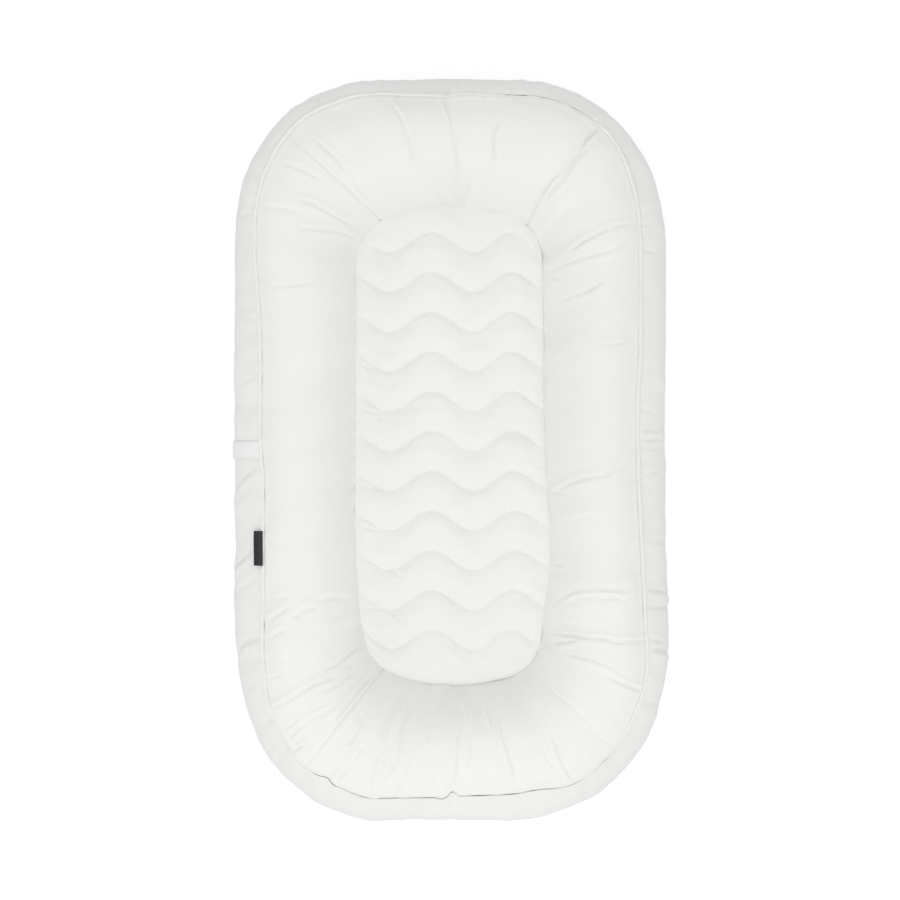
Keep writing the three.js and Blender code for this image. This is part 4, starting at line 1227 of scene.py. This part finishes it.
# Quilted sleep pad. Two layers of cotton over wadding, stitched through along eleven wavy lines. The
# wadding swells between the lines, and the pad rests on the foam inside the ring.
pad_fit = 0.0001
pad_crown_height, pad_floor = 0.0548, 0.0334
channel_pitch, channel_depth = 0.042, 0.0052
channel_shift_head = 0.009
wave_length, wave_rise, wave_crest = 0.089, 0.0105, 0.0195
line_count, rows_per_channel = 11, 20
pad_column_spacing = 0.0022
wadding_top, rim_press = 0.0489, 0.62


def held_cloth(piece, held, frames, pressure, growth, cap, bend):
    """Lets a cloth swell and buckle between the places where it is held, by no more than a cap."""
    before = np.empty(len(piece.data.vertices) * 3, np.float32)
    piece.data.vertices.foreach_get("co", before)
    group = piece.vertex_groups.new(name="held")
    group.add([int(i) for i in np.flatnonzero(held)], 1.0, "REPLACE")
    modifier = piece.modifiers.new("Swell", "CLOTH")
    settings = modifier.settings
    settings.quality = 6
    settings.mass = 0.2
    settings.tension_stiffness = settings.compression_stiffness = 25
    settings.shear_stiffness = 8
    settings.bending_stiffness = bend
    settings.vertex_group_mass = "held"
    settings.shrink_min = -growth
    settings.use_pressure = True
    settings.uniform_pressure_force = pressure
    settings.effector_weights.gravity = 0
    modifier.collision_settings.use_collision = False
    modifier.point_cache.frame_start, modifier.point_cache.frame_end = 1, frames
    scene = bpy.context.scene
    for at in range(1, frames + 1):
        scene.frame_set(at)
    depsgraph = bpy.context.evaluated_depsgraph_get()
    settled = piece.evaluated_get(depsgraph)
    after = np.empty_like(before)
    settled.data.vertices.foreach_get("co", after)
    piece.modifiers.remove(modifier)
    piece.vertex_groups.clear()
    scene.frame_set(1)
    move = (after - before).reshape(-1, 3).astype(float)
    length = np.linalg.norm(move, axis=-1, keepdims=True)
    eased = cap * np.tanh(length / cap)
    return before.reshape(-1, 3) + move * np.where(length > 0, eased / np.maximum(length, 1e-9), 1)


def finer(grid):
    """The same smooth grid with a point between each pair, along both of its directions."""

    def between(values):
        ends = np.concatenate([2 * values[:1] - values[1:2], values, 2 * values[-1:] - values[-2:-1]])
        middle = (9 * (ends[1:-2] + ends[2:-1]) - ends[:-3] - ends[3:]) / 16
        mixed = np.empty((2 * len(values) - 1, *values.shape[1:]))
        mixed[0::2], mixed[1::2] = values, middle
        return mixed

    return between(between(grid).swapaxes(0, 1)).swapaxes(0, 1)


pad_ring = inset_ring(well_ring, pad_fit)
pad_half = pad_ring["half"]
pad_columns = int(round(2 * pad_half / pad_column_spacing)) + 1
pad_x = np.linspace(-pad_half, pad_half, pad_columns)
pad_reach = end_reach(pad_ring, "head", pad_x)
pad_x = pad_x + well_ring["shift"][0]
pad_row = np.linspace(-1, line_count, (line_count + 1) * rows_per_channel + 1)[:, None]
wave = wave_rise * np.cos(2 * math.pi * (pad_x + wave_crest) / wave_length)
line_from_middle = np.arange(line_count)[:, None] - line_count // 2
line_y = channel_shift_head + line_from_middle * channel_pitch + wave[None, :]
middle_y = well_ring["shift"][1]
flat_reach = pad_ring["head"][0]
foot_line, head_line = (np.full((1, pad_columns), middle_y + way * flat_reach) for way in (-1, 1))
knots = np.concatenate([foot_line, line_y, head_line])
knot = np.clip(np.floor(pad_row + 1).astype(int), 0, line_count)
pad_y, next_y = knots[knot[:, 0]], knots[knot[:, 0] + 1]
pad_y = pad_y + (next_y - pad_y) * (pad_row + 1 - knot)
bend_in = 0.016
line_free = np.ones_like(pad_y)
for way in (1, -1):
    start = middle_y + way * (pad_reach - bend_in)
    room = (flat_reach - (pad_reach - bend_in)) / bend_in
    beyond = (pad_y - start) * way
    pad_y = np.where(beyond > 0, start + way * beyond / room, pad_y)
    line_free = np.where(room > 1.25, line_free * np.clip(1 - beyond / 0.010, 0, 1), line_free)
pad_place = np.dstack([np.broadcast_to(pad_x, pad_y.shape), pad_y])
pad_inside = inside_distance(pad_ring, pad_place)
pad_place = follow_wall(pad_place, 0.020, foot_draw)
narrow_table = [
    *[(-0.250, 3.5), (-0.235, 6.6), (-0.211, 8.8), (-0.190, 9.4), (-0.170, 6.4), (-0.150, 2.6)],
    *[(-0.120, 0.4), (-0.080, 0), (-0.050, 2.6), (-0.026, 4.4), (0, 5.4), (0.05, 6.8), (0.10, 7.3)],
    *[(0.15, 8.0), (0.19, 8.6), (0.26, 7.6)],
]
narrowed = 0.001 * np.interp(pad_y, *zip(*narrow_table))
pad_place[..., 0] -= narrowed * ramp(pad_x[None, :] - 0.015, 0.090) ** 1.3
slopes = [
    inside_distance(pad_ring, pad_place + step) - inside_distance(pad_ring, pad_place - step)
    for step in ([0.0005, 0], [0, 0.0005])
]
pad_outward = -unit(np.dstack(slopes) + [1e-9, 0])
to_right, to_left = np.clip(pad_outward[..., 0], 0, 1) ** 2, np.clip(-pad_outward[..., 0], 0, 1) ** 2
to_head, to_foot = np.clip(pad_outward[..., 1], 0, 1) ** 2, np.clip(-pad_outward[..., 1], 0, 1) ** 2
pad_edge_height = 0.0537 * to_left + 0.0514 * to_right + 0.0534 * to_head + 0.0512 * to_foot
pad_edge_height = pad_edge_height - 0.0022 * to_foot * bell(pad_place[..., 0] - 0.050, 0.030)
pad_edge_roll = 0.012 * to_left + 0.009 * to_right + 0.013 * to_head + 0.0085 * to_foot
rolled = 1 - (1 - ramp(pad_inside, pad_edge_roll)) ** 2.2
row_gap = np.abs(pad_row - np.clip(np.round(pad_row), 0, line_count - 1)) * channel_pitch
hollow = 0.60 * np.exp(-row_gap / 0.0050) + 0.40 * np.clip(1 - row_gap / 0.021, 0, 1) ** 2
edge_fade = 0.12 + 0.88 * ramp(pad_inside, 0.014)
pad_z = pad_edge_height + (pad_crown_height - pad_edge_height) * rolled
pad_z = pad_z - channel_depth * hollow * edge_fade * line_free
pressed = rim_press * np.maximum(pad_z - wadding_top, 0) + 0.0004 + 0.0005 * to_left
pressed = pressed * bell(pad_inside, 0.007)
pad_under = np.dstack([pad_place, pad_z])
pad_point = np.dstack([pad_place + pad_outward * pressed[..., None], pad_z])
swell = ramp(row_gap, 0.006) * ramp(pad_inside, 0.01)
pad_point[..., 2] += 0.0003 * swell * soft_noise(111, pad_point * np.array([1, 1.6, 1]), 0.035)
pad_point[..., 2] += 0.0004 * swell * soft_noise(112, pad_point, 0.11)

pad_creases = [
    ([(-0.094, 0.091), (-0.083, 0.086), (-0.074, 0.088)], 0.0016, 1, 0.0016),
    ([(-0.094, 0.046), (-0.083, 0.040), (-0.068, 0.038)], 0.0018, 1, 0.0016),
    ([(-0.078, 0.034), (-0.070, 0.031)], 0.0012, -1, 0.0014),
    ([(-0.096, -0.035), (-0.084, -0.040), (-0.068, -0.041)], 0.0014, 1, 0.0016),
    ([(-0.095, -0.078), (-0.084, -0.084), (-0.070, -0.086)], 0.0014, 1, 0.0016),
    ([(-0.070, -0.122), (-0.058, -0.130), (-0.046, -0.136)], 0.0020, 1, 0.0016),
    ([(-0.066, -0.168), (-0.056, -0.176), (-0.044, -0.185)], 0.0020, 1, 0.0016),
    ([(-0.092, -0.164), (-0.082, -0.168), (-0.072, -0.168)], 0.0014, 1, 0.0016),
    ([(0.101, 0.051), (0.096, 0.054), (0.090, 0.054)], 0.0009, 1, 0.0014),
    ([(0.100, -0.020), (0.094, -0.016)], 0.0008, 1, 0.0014),
    ([(0.102, -0.110), (0.094, -0.105)], 0.0008, 1, 0.0014),
]
upward = np.broadcast_to(np.array([0.0, 0.0, 1.0]), pad_point.shape)
flat_pad = pad_point * np.array([1, 1, 0])
for line, depth, side, width in pad_creases:
    path = np.array([[x, y, 0] for x, y in line])
    pad_point[..., 2] += fold_height(flat_pad, upward, path, depth, side, width)
rng = np.random.default_rng(113)
for line_at in range(line_count):
    for x in rng.uniform(-0.085, 0.088, 3):
        y0 = np.interp(x, pad_x, line_y[line_at])
        way = rng.choice([-1, 1])
        length, lean = rng.uniform(0.006, 0.013), rng.uniform(-0.5, 0.5)
        path = np.array([[x, y0 + way * 0.001, 0], [x + lean * length, y0 + way * length, 0]])
        near = (np.abs(flat_pad[..., 0] - x) < 0.03) & (np.abs(flat_pad[..., 1] - y0) < 0.03)
        depth = rng.uniform(0.0002, 0.0006)
        pad_point[near, 2] += fold_height(flat_pad[near], upward[near], path, depth, way, 0.0015, 0.1, 0.7)

pad_rows, pad_count = pad_point.shape[:2]
pad_sheet = piece_mesh("pad_top_cloth", pad_point.reshape(-1, 3), quads(pad_rows, pad_count))
stitched = np.zeros((pad_rows, pad_count), bool)
stitched[::rows_per_channel] = True
stitched[:, [0, -1]] = True
swelling = {"frames": 12, "pressure": 1.3, "growth": 0.0025, "cap": 0.0020, "bend": 3.0}
pad_point = held_cloth(pad_sheet, stitched.ravel(), **swelling).reshape(pad_point.shape)
bpy.data.objects.remove(pad_sheet)
pad_top = finer(pad_point)
pad_foot_line = finer(pad_under)


def closed_under(name, top, below, rings, floor):
    """A closed body below a top grid: its sides step down, from the rim of the grid below it, to a floor."""
    rows, columns = top.shape[:2]
    at = np.arange(rows * columns).reshape(rows, columns)
    border = np.concatenate([at[0], at[1:, -1], at[-1, -2::-1], at[-2:0:-1, 0]])
    edge = below.reshape(-1, 3)[border]
    centre = np.array([*edge[:, :2].mean(axis=0), 0])
    outward = unit((edge - centre) * np.array([1, 1, 0]))
    along = runs(np.concatenate([edge, edge[:1]]))[:-1]
    points = [top.reshape(-1, 3)]
    cloth = [points[0][:, :2]]
    for out, height in rings:
        level = edge + outward * out
        level[:, 2] = height
        points.append(level)
        cloth.append(np.stack([along, level[:, 2]], axis=-1))
    inner = edge + (centre - edge) * 0.5
    inner[:, 2] = floor
    points += [inner, np.array([[centre[0], centre[1], floor]])]
    cloth += [inner[:, :2], centre[None, :2]]
    faces, above, total = [quads(rows, columns)], border, rows * columns
    for _ in points[1:-1]:
        here = total + np.arange(len(border))
        faces.append(np.stack([above, here, np.roll(here, -1), np.roll(above, -1)], axis=-1))
        above, total = here, total + len(border)
    fan = np.stack([above, np.full(len(border), total), np.roll(above, -1)], axis=-1)
    triangles = [halves(f) for f in faces]
    return piece_mesh(name, np.concatenate(points), np.concatenate([*triangles, fan]), np.concatenate(cloth))


pad_sides = [(0.0001, height) for height in (0.0488, 0.0455, 0.0415, 0.0370)]
pad_sides += [(-0.0006, 0.0345), (-0.0028, pad_floor)]
pad = closed_under("quilted_sleep_pad", pad_top, pad_foot_line, pad_sides, pad_floor)
pad_cotton = woven(
    "Quilt cotton", (0.888, 0.891, 0.874), (0.846, 0.849, 0.831), threads=1500.0, slub=0.3, crease=0.55
)
finish_piece(pad, pad_cotton, "lounger", "quilt_cotton", "quilted_pad")

quilt_lines = []
for grid_row in rows_per_channel * np.arange(1, line_count + 1):
    row = pad_top[2 * grid_row]
    free = np.flatnonzero(np.repeat(line_free[grid_row], 2)[: len(row)] > 0.4)
    row = row[max(free[0], 3) : min(free[-1], len(row) - 4) + 1]
    quilt_lines.append(row + np.array([0, 0, quilt_thread_proud]))
thread_rows("pad_quilting_thread", quilt_lines, "quilt_cotton", quilt_stitch_pitch)
bpy.data.objects.remove(stitch_shape)


# Top panels. Four pieces of cover cotton, mitred at the corners and gathered between the piping and the
# pad. The spare cloth lies in soft folds that run across the bolster, and each seam pulls it in.
panel_step, panel_row_step = 0.0011, 0.00115
panel_thickness = 0.0012
seam_gap = 0.00006
seam_turn_levels = np.array([3.03, 3.06, 3.10, 3.15])
seam_row_steps = np.array([0, 0.0005, 0.0010, 0.0016, 0.0023, 0.0030, 0.0038])
mitre_seams = {
    2: [(0, 2.14), (0.18, 2.14), (0.30, 2.11), (0.45, 2.083), (0.60, 2.137)]
    + [(0.70, 2.13), (0.90, 2.05), (1, 1.98)],
    6: [(0, 6.02), (1, 5.97)],
    10: [(0, 10.17), (1, 10.02)],
    14: [(0, 14.06), (1, 14.08)],
}
panel_groove_shares = [(0, 0.8), (0.3, 0.6), (1.8, 0.55), (2.4, 0.35)]
panel_groove_shares += [(6.6, 0.4), (7.1, 1), (15.6, 1), (16, 0.8)]
deep_fold, deepest_fold = 0.0020, 0.0030
panel_folds = [
    ([(36, -259), (37, -271), (41, -284), (45, -296)], -1.9, -1, 1.5),
    ([(49, -279), (53, -300), (59, -315), (64, -331), (68, -345)], -2.4, 0, 1.4),
    ([(14, -261), (16, -270), (17, -279), (17, -290)], -2.0, -1, 2.0),
    ([(10, -288), (8, -304), (7, -322), (4, -349)], -2.4, -1, 1.4),
    ([(19, -286), (20, -303), (20, -330)], 1.81, 0, 1.5),
    ([(-21, -274), (-22, -286), (-25, -300)], 1.7, 0, 2.4),
    ([(-42, -256), (-47, -279), (-51, -304), (-55, -316), (-63, -333), (-66, -345)], 2.82, -1, 1.8),
    ([(-56, -256), (-65, -277), (-67, -298), (-71, -320)], 2.55, 1, 2.6),
    ([(-74, -313), (-78, -331), (-81, -350)], -2.12, 0, 1.6),
    ([(-18, -338), (-19, -352)], -1.45, 0, 1.6),
    ([(-88, -301), (-98, -316), (-106, -328), (-119, -346)], 2.98, -1, 1.6),
    ([(-90, -270), (-94, -284), (-102, -298), (-106, -304)], 3.6, -1, 2.0),
    ([(95, -255), (106, -274), (111, -285), (117, -300)], 0.96, -1, 1.6),
    ([(103, -294), (109, -312), (116, -329), (126, -346)], -2.4, 0, 1.5),
    ([(93, -301), (101, -318), (111, -332)], 1.02, 1, 1.5),
    ([(87, -248), (92, -253), (98, -260)], 0.63, -1, 2.2),
    ([(111, -299), (115, -308), (120, -318)], 0.74, 0, 1.4),
    ([(99, -247), (122, -260), (134, -271), (146, -283), (155, -288)], 0.87, 1, 1.5),
    ([(-81, -234), (-94, -249), (-105, -261), (-114, -272), (-117, -280)], 3.6, -1, 1.6),
    ([(-72, -230), (-91, -253), (-101, -266), (-114, -283), (-130, -302), (-138, -316)], 0.71, 1, 1.5),
    ([(-116, -232), (-127, -236), (-143, -243), (-154, -250)]
    + [(-164, -256), (-173, -261), (-186, -268)], 3.08, -1, 1.6),
    ([(-90, -204), (-101, -209), (-111, -217), (-117, -222), (-124, -224), (-131, -226)], 2.7, -1, 1.8),
    ([(-98, -229), (-107, -235), (-114, -241), (-121, -244), (-129, -249)], 3.6, -1, 1.7),
    ([(-119, -262), (-125, -268), (-135, -273), (-144, -277)]
    + [(-153, -284), (-161, -290), (-167, -297)], 3.6, -1, 1.6),
    ([(-157, -277), (-162, -282), (-168, -287)], 1.17, -1, 1.4),
    ([(-149, -292), (-156, -299), (-162, -305)], 3.6, -1, 1.5),
    ([(-153, -305), (-159, -309), (-165, -315)], 3.6, 0, 1.6),
    ([(-107, -154), (-119, -153), (-128, -154), (-139, -158)], 1.84, -1, 2.4),
    ([(-136, -161), (-150, -165), (-162, -173)], 3.1, -1, 2.2),
    ([(-166, -162), (-177, -169), (-187, -176)], 2.63, -1, 1.7),
    ([(-167, -183), (-179, -189), (-186, -195)], 1.49, -1, 1.7),
    ([(-105, -170), (-115, -172), (-122, -175), (-130, -178)], 1.37, -1, 2.0),
    ([(-169, -217), (-180, -220)], 0.97, -1, 1.5),
    ([(-174, -232), (-188, -236)], 1.55, -1, 1.4),
    ([(-163, -149), (-183, -154)], 1.41, -1, 1.8),
    ([(108, -162), (117, -154), (128, -148)], 0.58, -1, 1.6),
    ([(117, -159), (133, -149), (149, -146), (186, -148)], -2.4, 0, 1.8),
    ([(149, -154), (170, -152), (182, -156)], 1.22, 1, 1.6),
    ([(103, -191), (114, -192), (133, -193), (157, -194), (173, -197), (207, -198)], 3.6, 1, 1.6),
    ([(105, -203), (123, -199), (132, -196)], 2.53, -1, 1.5),
    ([(117, -211), (140, -214), (157, -219), (172, -226)], 1.65, -1, 1.7),
    ([(159, -230), (167, -235), (180, -242), (201, -250)], 3.6, 1, 1.6),
    ([(108, -45), (123, -35), (140, -29), (160, -26), (179, -14)], 2.61, 1, 1.8),
    ([(144, -32), (160, -28), (185, -34)], 0.23, 1, 1.8),
    ([(107, -44), (125, -45)], 1.06, 0, 1.5),
    ([(108, -119), (118, -120)], 1.75, 0, 1.6),
    ([(115, -177), (144, -173), (180, -176)], -0.66, 0, 2.0),
    ([(118, -76), (139, -69), (160, -72)], 1.06, 1, 2.2),
    ([(-63, 363), (-50, 340), (-41, 313), (-36, 287)], 2.35, 1, 1.7),
    ([(-55, 361), (-50, 352)], 1.2, -1, 1.4),
    ([(-9, 366), (-1, 338), (4, 308), (12, 271)], -2.4, 0, 1.4),
    ([(51, 348), (45, 321), (45, 289)], 2.19, -1, 1.7),
    ([(-141, 322), (-121, 303), (-105, 286)], 3.01, 1, 1.5),
    ([(-162, 323), (-141, 302), (-116, 278), (-98, 262), (-73, 238)], 0.59, 1, 1.6),
    ([(-107, 286), (-97, 269), (-85, 254)], -1.15, 0, 1.6),
    ([(-174, 298), (-155, 290), (-132, 277)], 2.37, 1, 1.7),
    ([(-161, 259), (-138, 252), (-118, 241), (-99, 233)], 2.61, 1, 1.6),
    ([(-156, 228), (-132, 227), (-113, 226), (-95, 221)], 2.78, 1, 1.7),
    ([(-194, 252), (-169, 248), (-148, 242)], 1.37, 1, 1.9),
    ([(-188, 169), (-163, 169), (-136, 174)], 1.4, 0, 1.9),
    ([(-174, 209), (-154, 213), (-124, 210)], -0.15, 0, 2.4),
    ([(154, 334), (141, 320), (133, 306), (125, 294), (119, 287)], 3.4, 1, 1.5),
    ([(110, 285), (102, 274), (94, 264), (89, 255), (84, 245), (79, 233)], 2.8, 1, 1.5),
    ([(152, 325), (140, 310), (132, 300), (124, 290)]
    + [(116, 279), (107, 269), (100, 261), (92, 255)], 3.2, -1, 1.8),
    ([(187, 235), (163, 227), (140, 216), (120, 204)], 3.6, -1, 1.6),
    ([(189, 218), (163, 204), (133, 197), (102, 188)], 1.62, 1, 1.7),
    ([(160, 174), (140, 164), (112, 155)], 2.13, 1, 1.8),
    ([(186, 111), (170, 110), (155, 106)], 1.11, 0, 1.8),
    ([(139, 259), (119, 245), (102, 233)], 0.66, 1, 2.6),
    ([(105, 181), (115, 178)], 1.89, 0, 1.5),
]


def panel_level(share):
    """The level at which the panel has gone a share of its way in to the pad."""
    return 2 + (1.25 - np.sqrt(1.5625 - np.asarray(share, float))) / 0.5


def mitre_station(corner, share):
    """The station of a corner's mitre seam, at a share of the way in to the pad."""
    shares, stations = zip(*mitre_seams[corner % full_turn])
    return np.interp(share, shares, stations) + corner - corner % full_turn


def panel_grid(first, last):
    """Stations and levels of a panel's grid, whose end columns run along the two mitre seams."""
    dense = np.linspace(0, 1, 400)
    section = bolster_points(np.full(len(dense), (first + last) / 2), panel_level(dense))
    section_run = runs(section)
    rows = int(round(section_run[-1] / panel_row_step)) - 2
    spaced = np.concatenate([seam_row_steps, np.linspace(0.0050, section_run[-1], rows)])
    share = np.interp(spaced, section_run, dense)[:, None]
    middle_ring = inset_ring(top_seam_ring, 0.022)
    stations = with_close_ends(even_stations(middle_ring, first, last, panel_step))
    fraction = (stations - first) / (last - first)
    start, end = mitre_station(first, share), mitre_station(last, share)
    level, probe = panel_level(share), 0.01
    per_probe = np.linalg.norm(bolster_points(start + probe, level) - bolster_points(start, level), axis=-1)
    gap = seam_gap / 2 / (per_probe / probe)
    start, end = start + gap, end - gap
    station = start + (end - start) * fraction[None, :]
    level = np.broadcast_to(level, station.shape)
    turned_down = np.broadcast_to(seam_turn_levels[:, None], (len(seam_turn_levels), len(stations)))
    hem = np.broadcast_to(station[-1:], turned_down.shape)
    return np.concatenate([station, hem]), np.concatenate([level, turned_down])


def panel_shape(first, last, seed):
    """The outer face of a panel, and how far its folds, gathers and seams lift it."""
    station, level = panel_grid(first, last)
    points, normals = bolster_points(station, level), bolster_normals(station, level)
    seam_row = len(points) - len(seam_turn_levels) - 1
    away_top = np.linalg.norm(points - points[:1], axis=-1)
    away_pad = np.linalg.norm(points - points[seam_row], axis=-1)
    away_start = np.linalg.norm(points - points[:, :1], axis=-1)
    away_mitre = np.minimum(away_start, np.linalg.norm(points - points[:, -1:], axis=-1))
    run_top = np.broadcast_to(runs(points[0]), station.shape)
    run_pad = np.broadcast_to(runs(points[seam_row]), station.shape)
    run_middle = np.broadcast_to(runs(points[len(points) // 2]), station.shape)
    grain = np.stack([run_middle, away_top * 0.33, np.full(station.shape, seed * 0.37)], axis=-1)
    lift = 0.0006 * soft_noise(seed, grain, 0.060)
    lift += 0.00025 * soft_noise(seed + 1, grain, 0.024)
    lift += 0.0008 * soft_noise(seed + 2, points, 0.130)
    lift *= ramp(away_mitre, 0.02, 0.2) * ramp(away_top, 0.02, 0.15)
    gathered = 0.15 + 0.85 * bell(station % 4 - 2, 1.15)
    gathered = np.maximum(gathered, 0.75 * bell(station % full_turn - 12, 1.6))
    crests = 1 - np.sqrt(soft_noise(seed + 5, grain * np.array([1, 0.6, 1]), 0.045) ** 2 + 0.03)
    lift += 0.0005 * gathered * crests
    lift += puckers(seed + 3, run_top, away_top, wavelength=0.028, height=0.00035, reach=0.011)
    lift += puckers(seed + 4, run_pad, away_pad, wavelength=0.020, height=0.0005, reach=0.014)
    plan = points * np.array([1, 1, 0])
    upward = np.broadcast_to(np.array([0.0, 0.0, 1.0]), plan.shape)
    for line, depth, side, width in panel_folds:
        path = np.array([[x, y, 0] for x, y in line]) * 0.001
        low, high = path.min(axis=0)[:2] - 0.012, path.max(axis=0)[:2] + 0.012
        near = np.all((plan[..., :2] > low) & (plan[..., :2] < high), axis=-1)
        if near.any():
            lift[near] += fold_height(plan[near], upward[near], path, depth * 0.001, side, width * 0.001)
    lift = np.where(lift < 0, lift * ramp(away_top, 0.008, 0.2), lift)
    tight = np.interp(station % full_turn, [2, 6, 10, 14], [1.0, 0.5, 1.0, 0.25])
    pinch = 0.0010 * tight * np.exp(-away_mitre / 0.0016) + 0.0008 * bell(away_mitre, 0.014)
    open_seam = np.interp(station % full_turn, *zip(*panel_groove_shares))
    seam_in = open_seam * seam_groove(station, away_top)
    ridge = 0.0006 * bell(away_top - 0.0060, 0.0022)
    lift = lift - pinch * ramp(away_top, 0.012, 0.15) - seam_in + ridge
    lift = lift * (1 - 0.9 * bell(away_pad, np.where(lift > 0, 0.011, 0.004)))
    lift[seam_row:] = 0
    deeper = np.maximum(-lift - deep_fold, 0)
    room = deepest_fold - deep_fold
    lift = np.where(deeper > 0, -deep_fold - room * np.tanh(deeper / room), lift)
    return points, normals, np.maximum(lift, -0.0013 - 0.5 * away_top)


panel_cotton = woven(
    "Cover cotton", (0.880, 0.884, 0.863), (0.836, 0.839, 0.818), threads=1450.0, slub=0.35, crease=0.6
)
panel_table = [("right", -2, 2, 201), ("head", 2, 6, 211), ("left", 6, 10, 221), ("foot", 10, 14, 231)]
for name, first, last, seed in panel_table:
    points, normals, lift = panel_shape(first, last, seed)
    front, back = raised(points, normals, lift), raised(points, normals, lift - panel_thickness)
    panel = shell("top_panel_" + name + "_cloth", front, back, coarse=5)
    finish_piece(panel, panel_cotton, "lounger", "cover_cotton", "top_panel_" + name)
    width, length = runs(front[:, front.shape[1] // 2])[-1], runs(front[front.shape[0] // 3])[-1]


# Piping. A thin cord wrapped in a bias strip of the cover's cotton, sewn into the seam between the top
# panels and the side band, all the way round.
piping_radius, piping_lift = 0.0021, 0.0002
piping_stations = even_stations(top_seam_ring, 0, full_turn, 0.0016)[:-1]
piping_sides = 14


def seam_upward(stations):
    """The way up the bolster at the top seam."""
    return unit(bolster_points(stations, 2.02) - bolster_points(stations, 1.98))


outward, upward = bolster_normals(piping_stations, 2.0), seam_upward(piping_stations)
seam_line, sunk = bolster_points(piping_stations, 2.0), sunk_seam(piping_stations)
wander = -1.5 * sunk + 0.0003 * soft_noise(121, seam_line, 0.04)
thick = 1 + 0.06 * soft_noise(122, seam_line, 0.016) - 150 * sunk
centre = seam_line + outward * (piping_lift + wander)[:, None]
turn = np.linspace(0, 2 * math.pi, piping_sides, endpoint=False)[:, None, None]
girth = piping_radius * thick[None, :, None]
piping_loop = centre[None] + girth * (outward[None] * np.cos(turn) + upward[None] * np.sin(turn))
piping = swept_loop("top_seam_piping", piping_loop)
finish_piece(piping, panel_cotton, "lounger", "cover_cotton", "top_piping")


# Side label. A short length of black satin ribbon, folded in half and caught in the left seam, so that
# its fold hangs over the band. It is bare.
label_from, label_to = -0.120, -0.084
label_ribbon, label_gap = 0.00028, 0.00030
label_columns = 26

label_stations = left_station(np.linspace(label_to, label_from, label_columns))
label_seam = bolster_points(label_stations, 2.0)
label_out = bolster_normals(label_stations, 2.0)
label_up = seam_upward(label_stations)
label_waver = 0.0002 * np.sin(np.linspace(0, 5, label_columns))[:, None]


def ribbon_line(rise):
    """Rows of a leaf of ribbon, from the seam over the piping and down the band, at a rise."""
    round_cord = piping_radius + 0.0006 + rise
    rows = []
    for angle in np.radians([42, 28, 12, -6, -28, -50]):
        proud = label_out * (piping_lift + round_cord * math.cos(angle))
        rows.append(label_seam + proud + label_up * round_cord * math.sin(angle))
    for at, level in enumerate(np.linspace(1.955, 1.930, 6)):
        lifted = 0.0016 + rise + 0.0003 * at * at / 6 + label_waver
        out = bolster_normals(label_stations, level)
        rows.append(bolster_points(label_stations, np.full(label_columns, level)) + out * lifted)
    return rows


label_rises = (0.0, label_ribbon, label_ribbon + label_gap, 2 * label_ribbon + label_gap)
leaves = [ribbon_line(rise) for rise in label_rises]
hang = unit(leaves[0][-1] - leaves[0][-2])
fold_middle = (leaves[0][-1] + leaves[3][-1]) / 2
fold_reach = label_ribbon + label_gap / 2
outer_fold = [*leaves[0], fold_middle + hang * fold_reach, *leaves[3][::-1]]
inner_fold = [*leaves[2], fold_middle + hang * label_gap / 2, *leaves[1][::-1]]
label_section = np.stack(outer_fold + inner_fold)
label = swept_loop("side_label_ribbon", label_section, wrap=False)

satin = woven(
    "Black satin",
    (0.022, 0.022, 0.024),
    (0.009, 0.009, 0.010),
    threads=2600.0,
    slub=0.5,
    crease=0.2,
    bump_depth=0.00012,
    gloss={"Sheen Weight": 0.15, "Sheen Roughness": 0.4},
)
finish_piece(label, satin, "lounger", "label_satin", "side_label")


# Studio. A white floor under a soft, even light, and one broad lamp above the foot end. The camera
# looks straight down from well above, with the head end up.
camera_height, camera_lens, camera_sensor = 2.4, 88.99, 36.0
floor_size, floor_drop = 8.0, 0.0002
lamp_place, lamp_size, lamp_power = (-0.25, -1.75, 2.75), 1.4, 20.0


def seen_or_lit(tree, seen, lit):
    """One strength where the camera sees a surface, straight or in a gloss, and another for its light."""
    rays = add_node(tree, "ShaderNodeLightPath").outputs
    direct = sums(tree, "MAXIMUM", rays["Is Camera Ray"], rays["Is Glossy Ray"])
    direct = sums(tree, "MAXIMUM", direct, rays["Is Transmission Ray"])
    return add_node(tree, "ShaderNodeMix", {0: direct, 2: lit, 3: seen}, data_type="FLOAT").outputs[0]


floor_corners = np.array([[-1, -1, 0], [1, -1, 0], [1, 1, 0], [-1, 1, 0]]) * floor_size / 2
floor = piece_mesh("studio_floor", floor_corners - np.array([0, 0, floor_drop]), np.array([[0, 1, 2, 3]]))
paper, tree, shader = new_material(
    "Studio paper", {"Base Color": (0.5, 0.5, 0.5, 1), "Roughness": 0.95, "Emission Color": (1, 1, 1, 1)}
)
tree.links.new(seen_or_lit(tree, seen=0.60, lit=0.22), shader.inputs["Emission Strength"])
floor.data.materials.append(paper)

world = bpy.data.worlds.new("Studio light")
world.use_nodes = True
bpy.context.scene.world = world
tree = world.node_tree
backdrop = tree.nodes["Background"]
backdrop.inputs["Color"].default_value = (1, 1, 1, 1)
tree.links.new(seen_or_lit(tree, seen=1.0, lit=0.88), backdrop.inputs["Strength"])

lamp = placed("foot_lamp", bpy.data.lights.new("foot_lamp", "AREA"))
lamp.data.shape, lamp.data.size, lamp.data.energy = "SQUARE", lamp_size, lamp_power
lamp.location = lamp_place
lamp.rotation_euler = (-Vector(lamp_place)).to_track_quat("-Z", "Y").to_euler()

camera = placed("camera", bpy.data.cameras.new("camera"))
camera.data.sensor_width, camera.data.lens = camera_sensor, camera_lens
camera.location = (0.0, 0.0, camera_height)
bpy.context.scene.camera = camera
bpy.context.scene.view_settings.view_transform = "Standard"
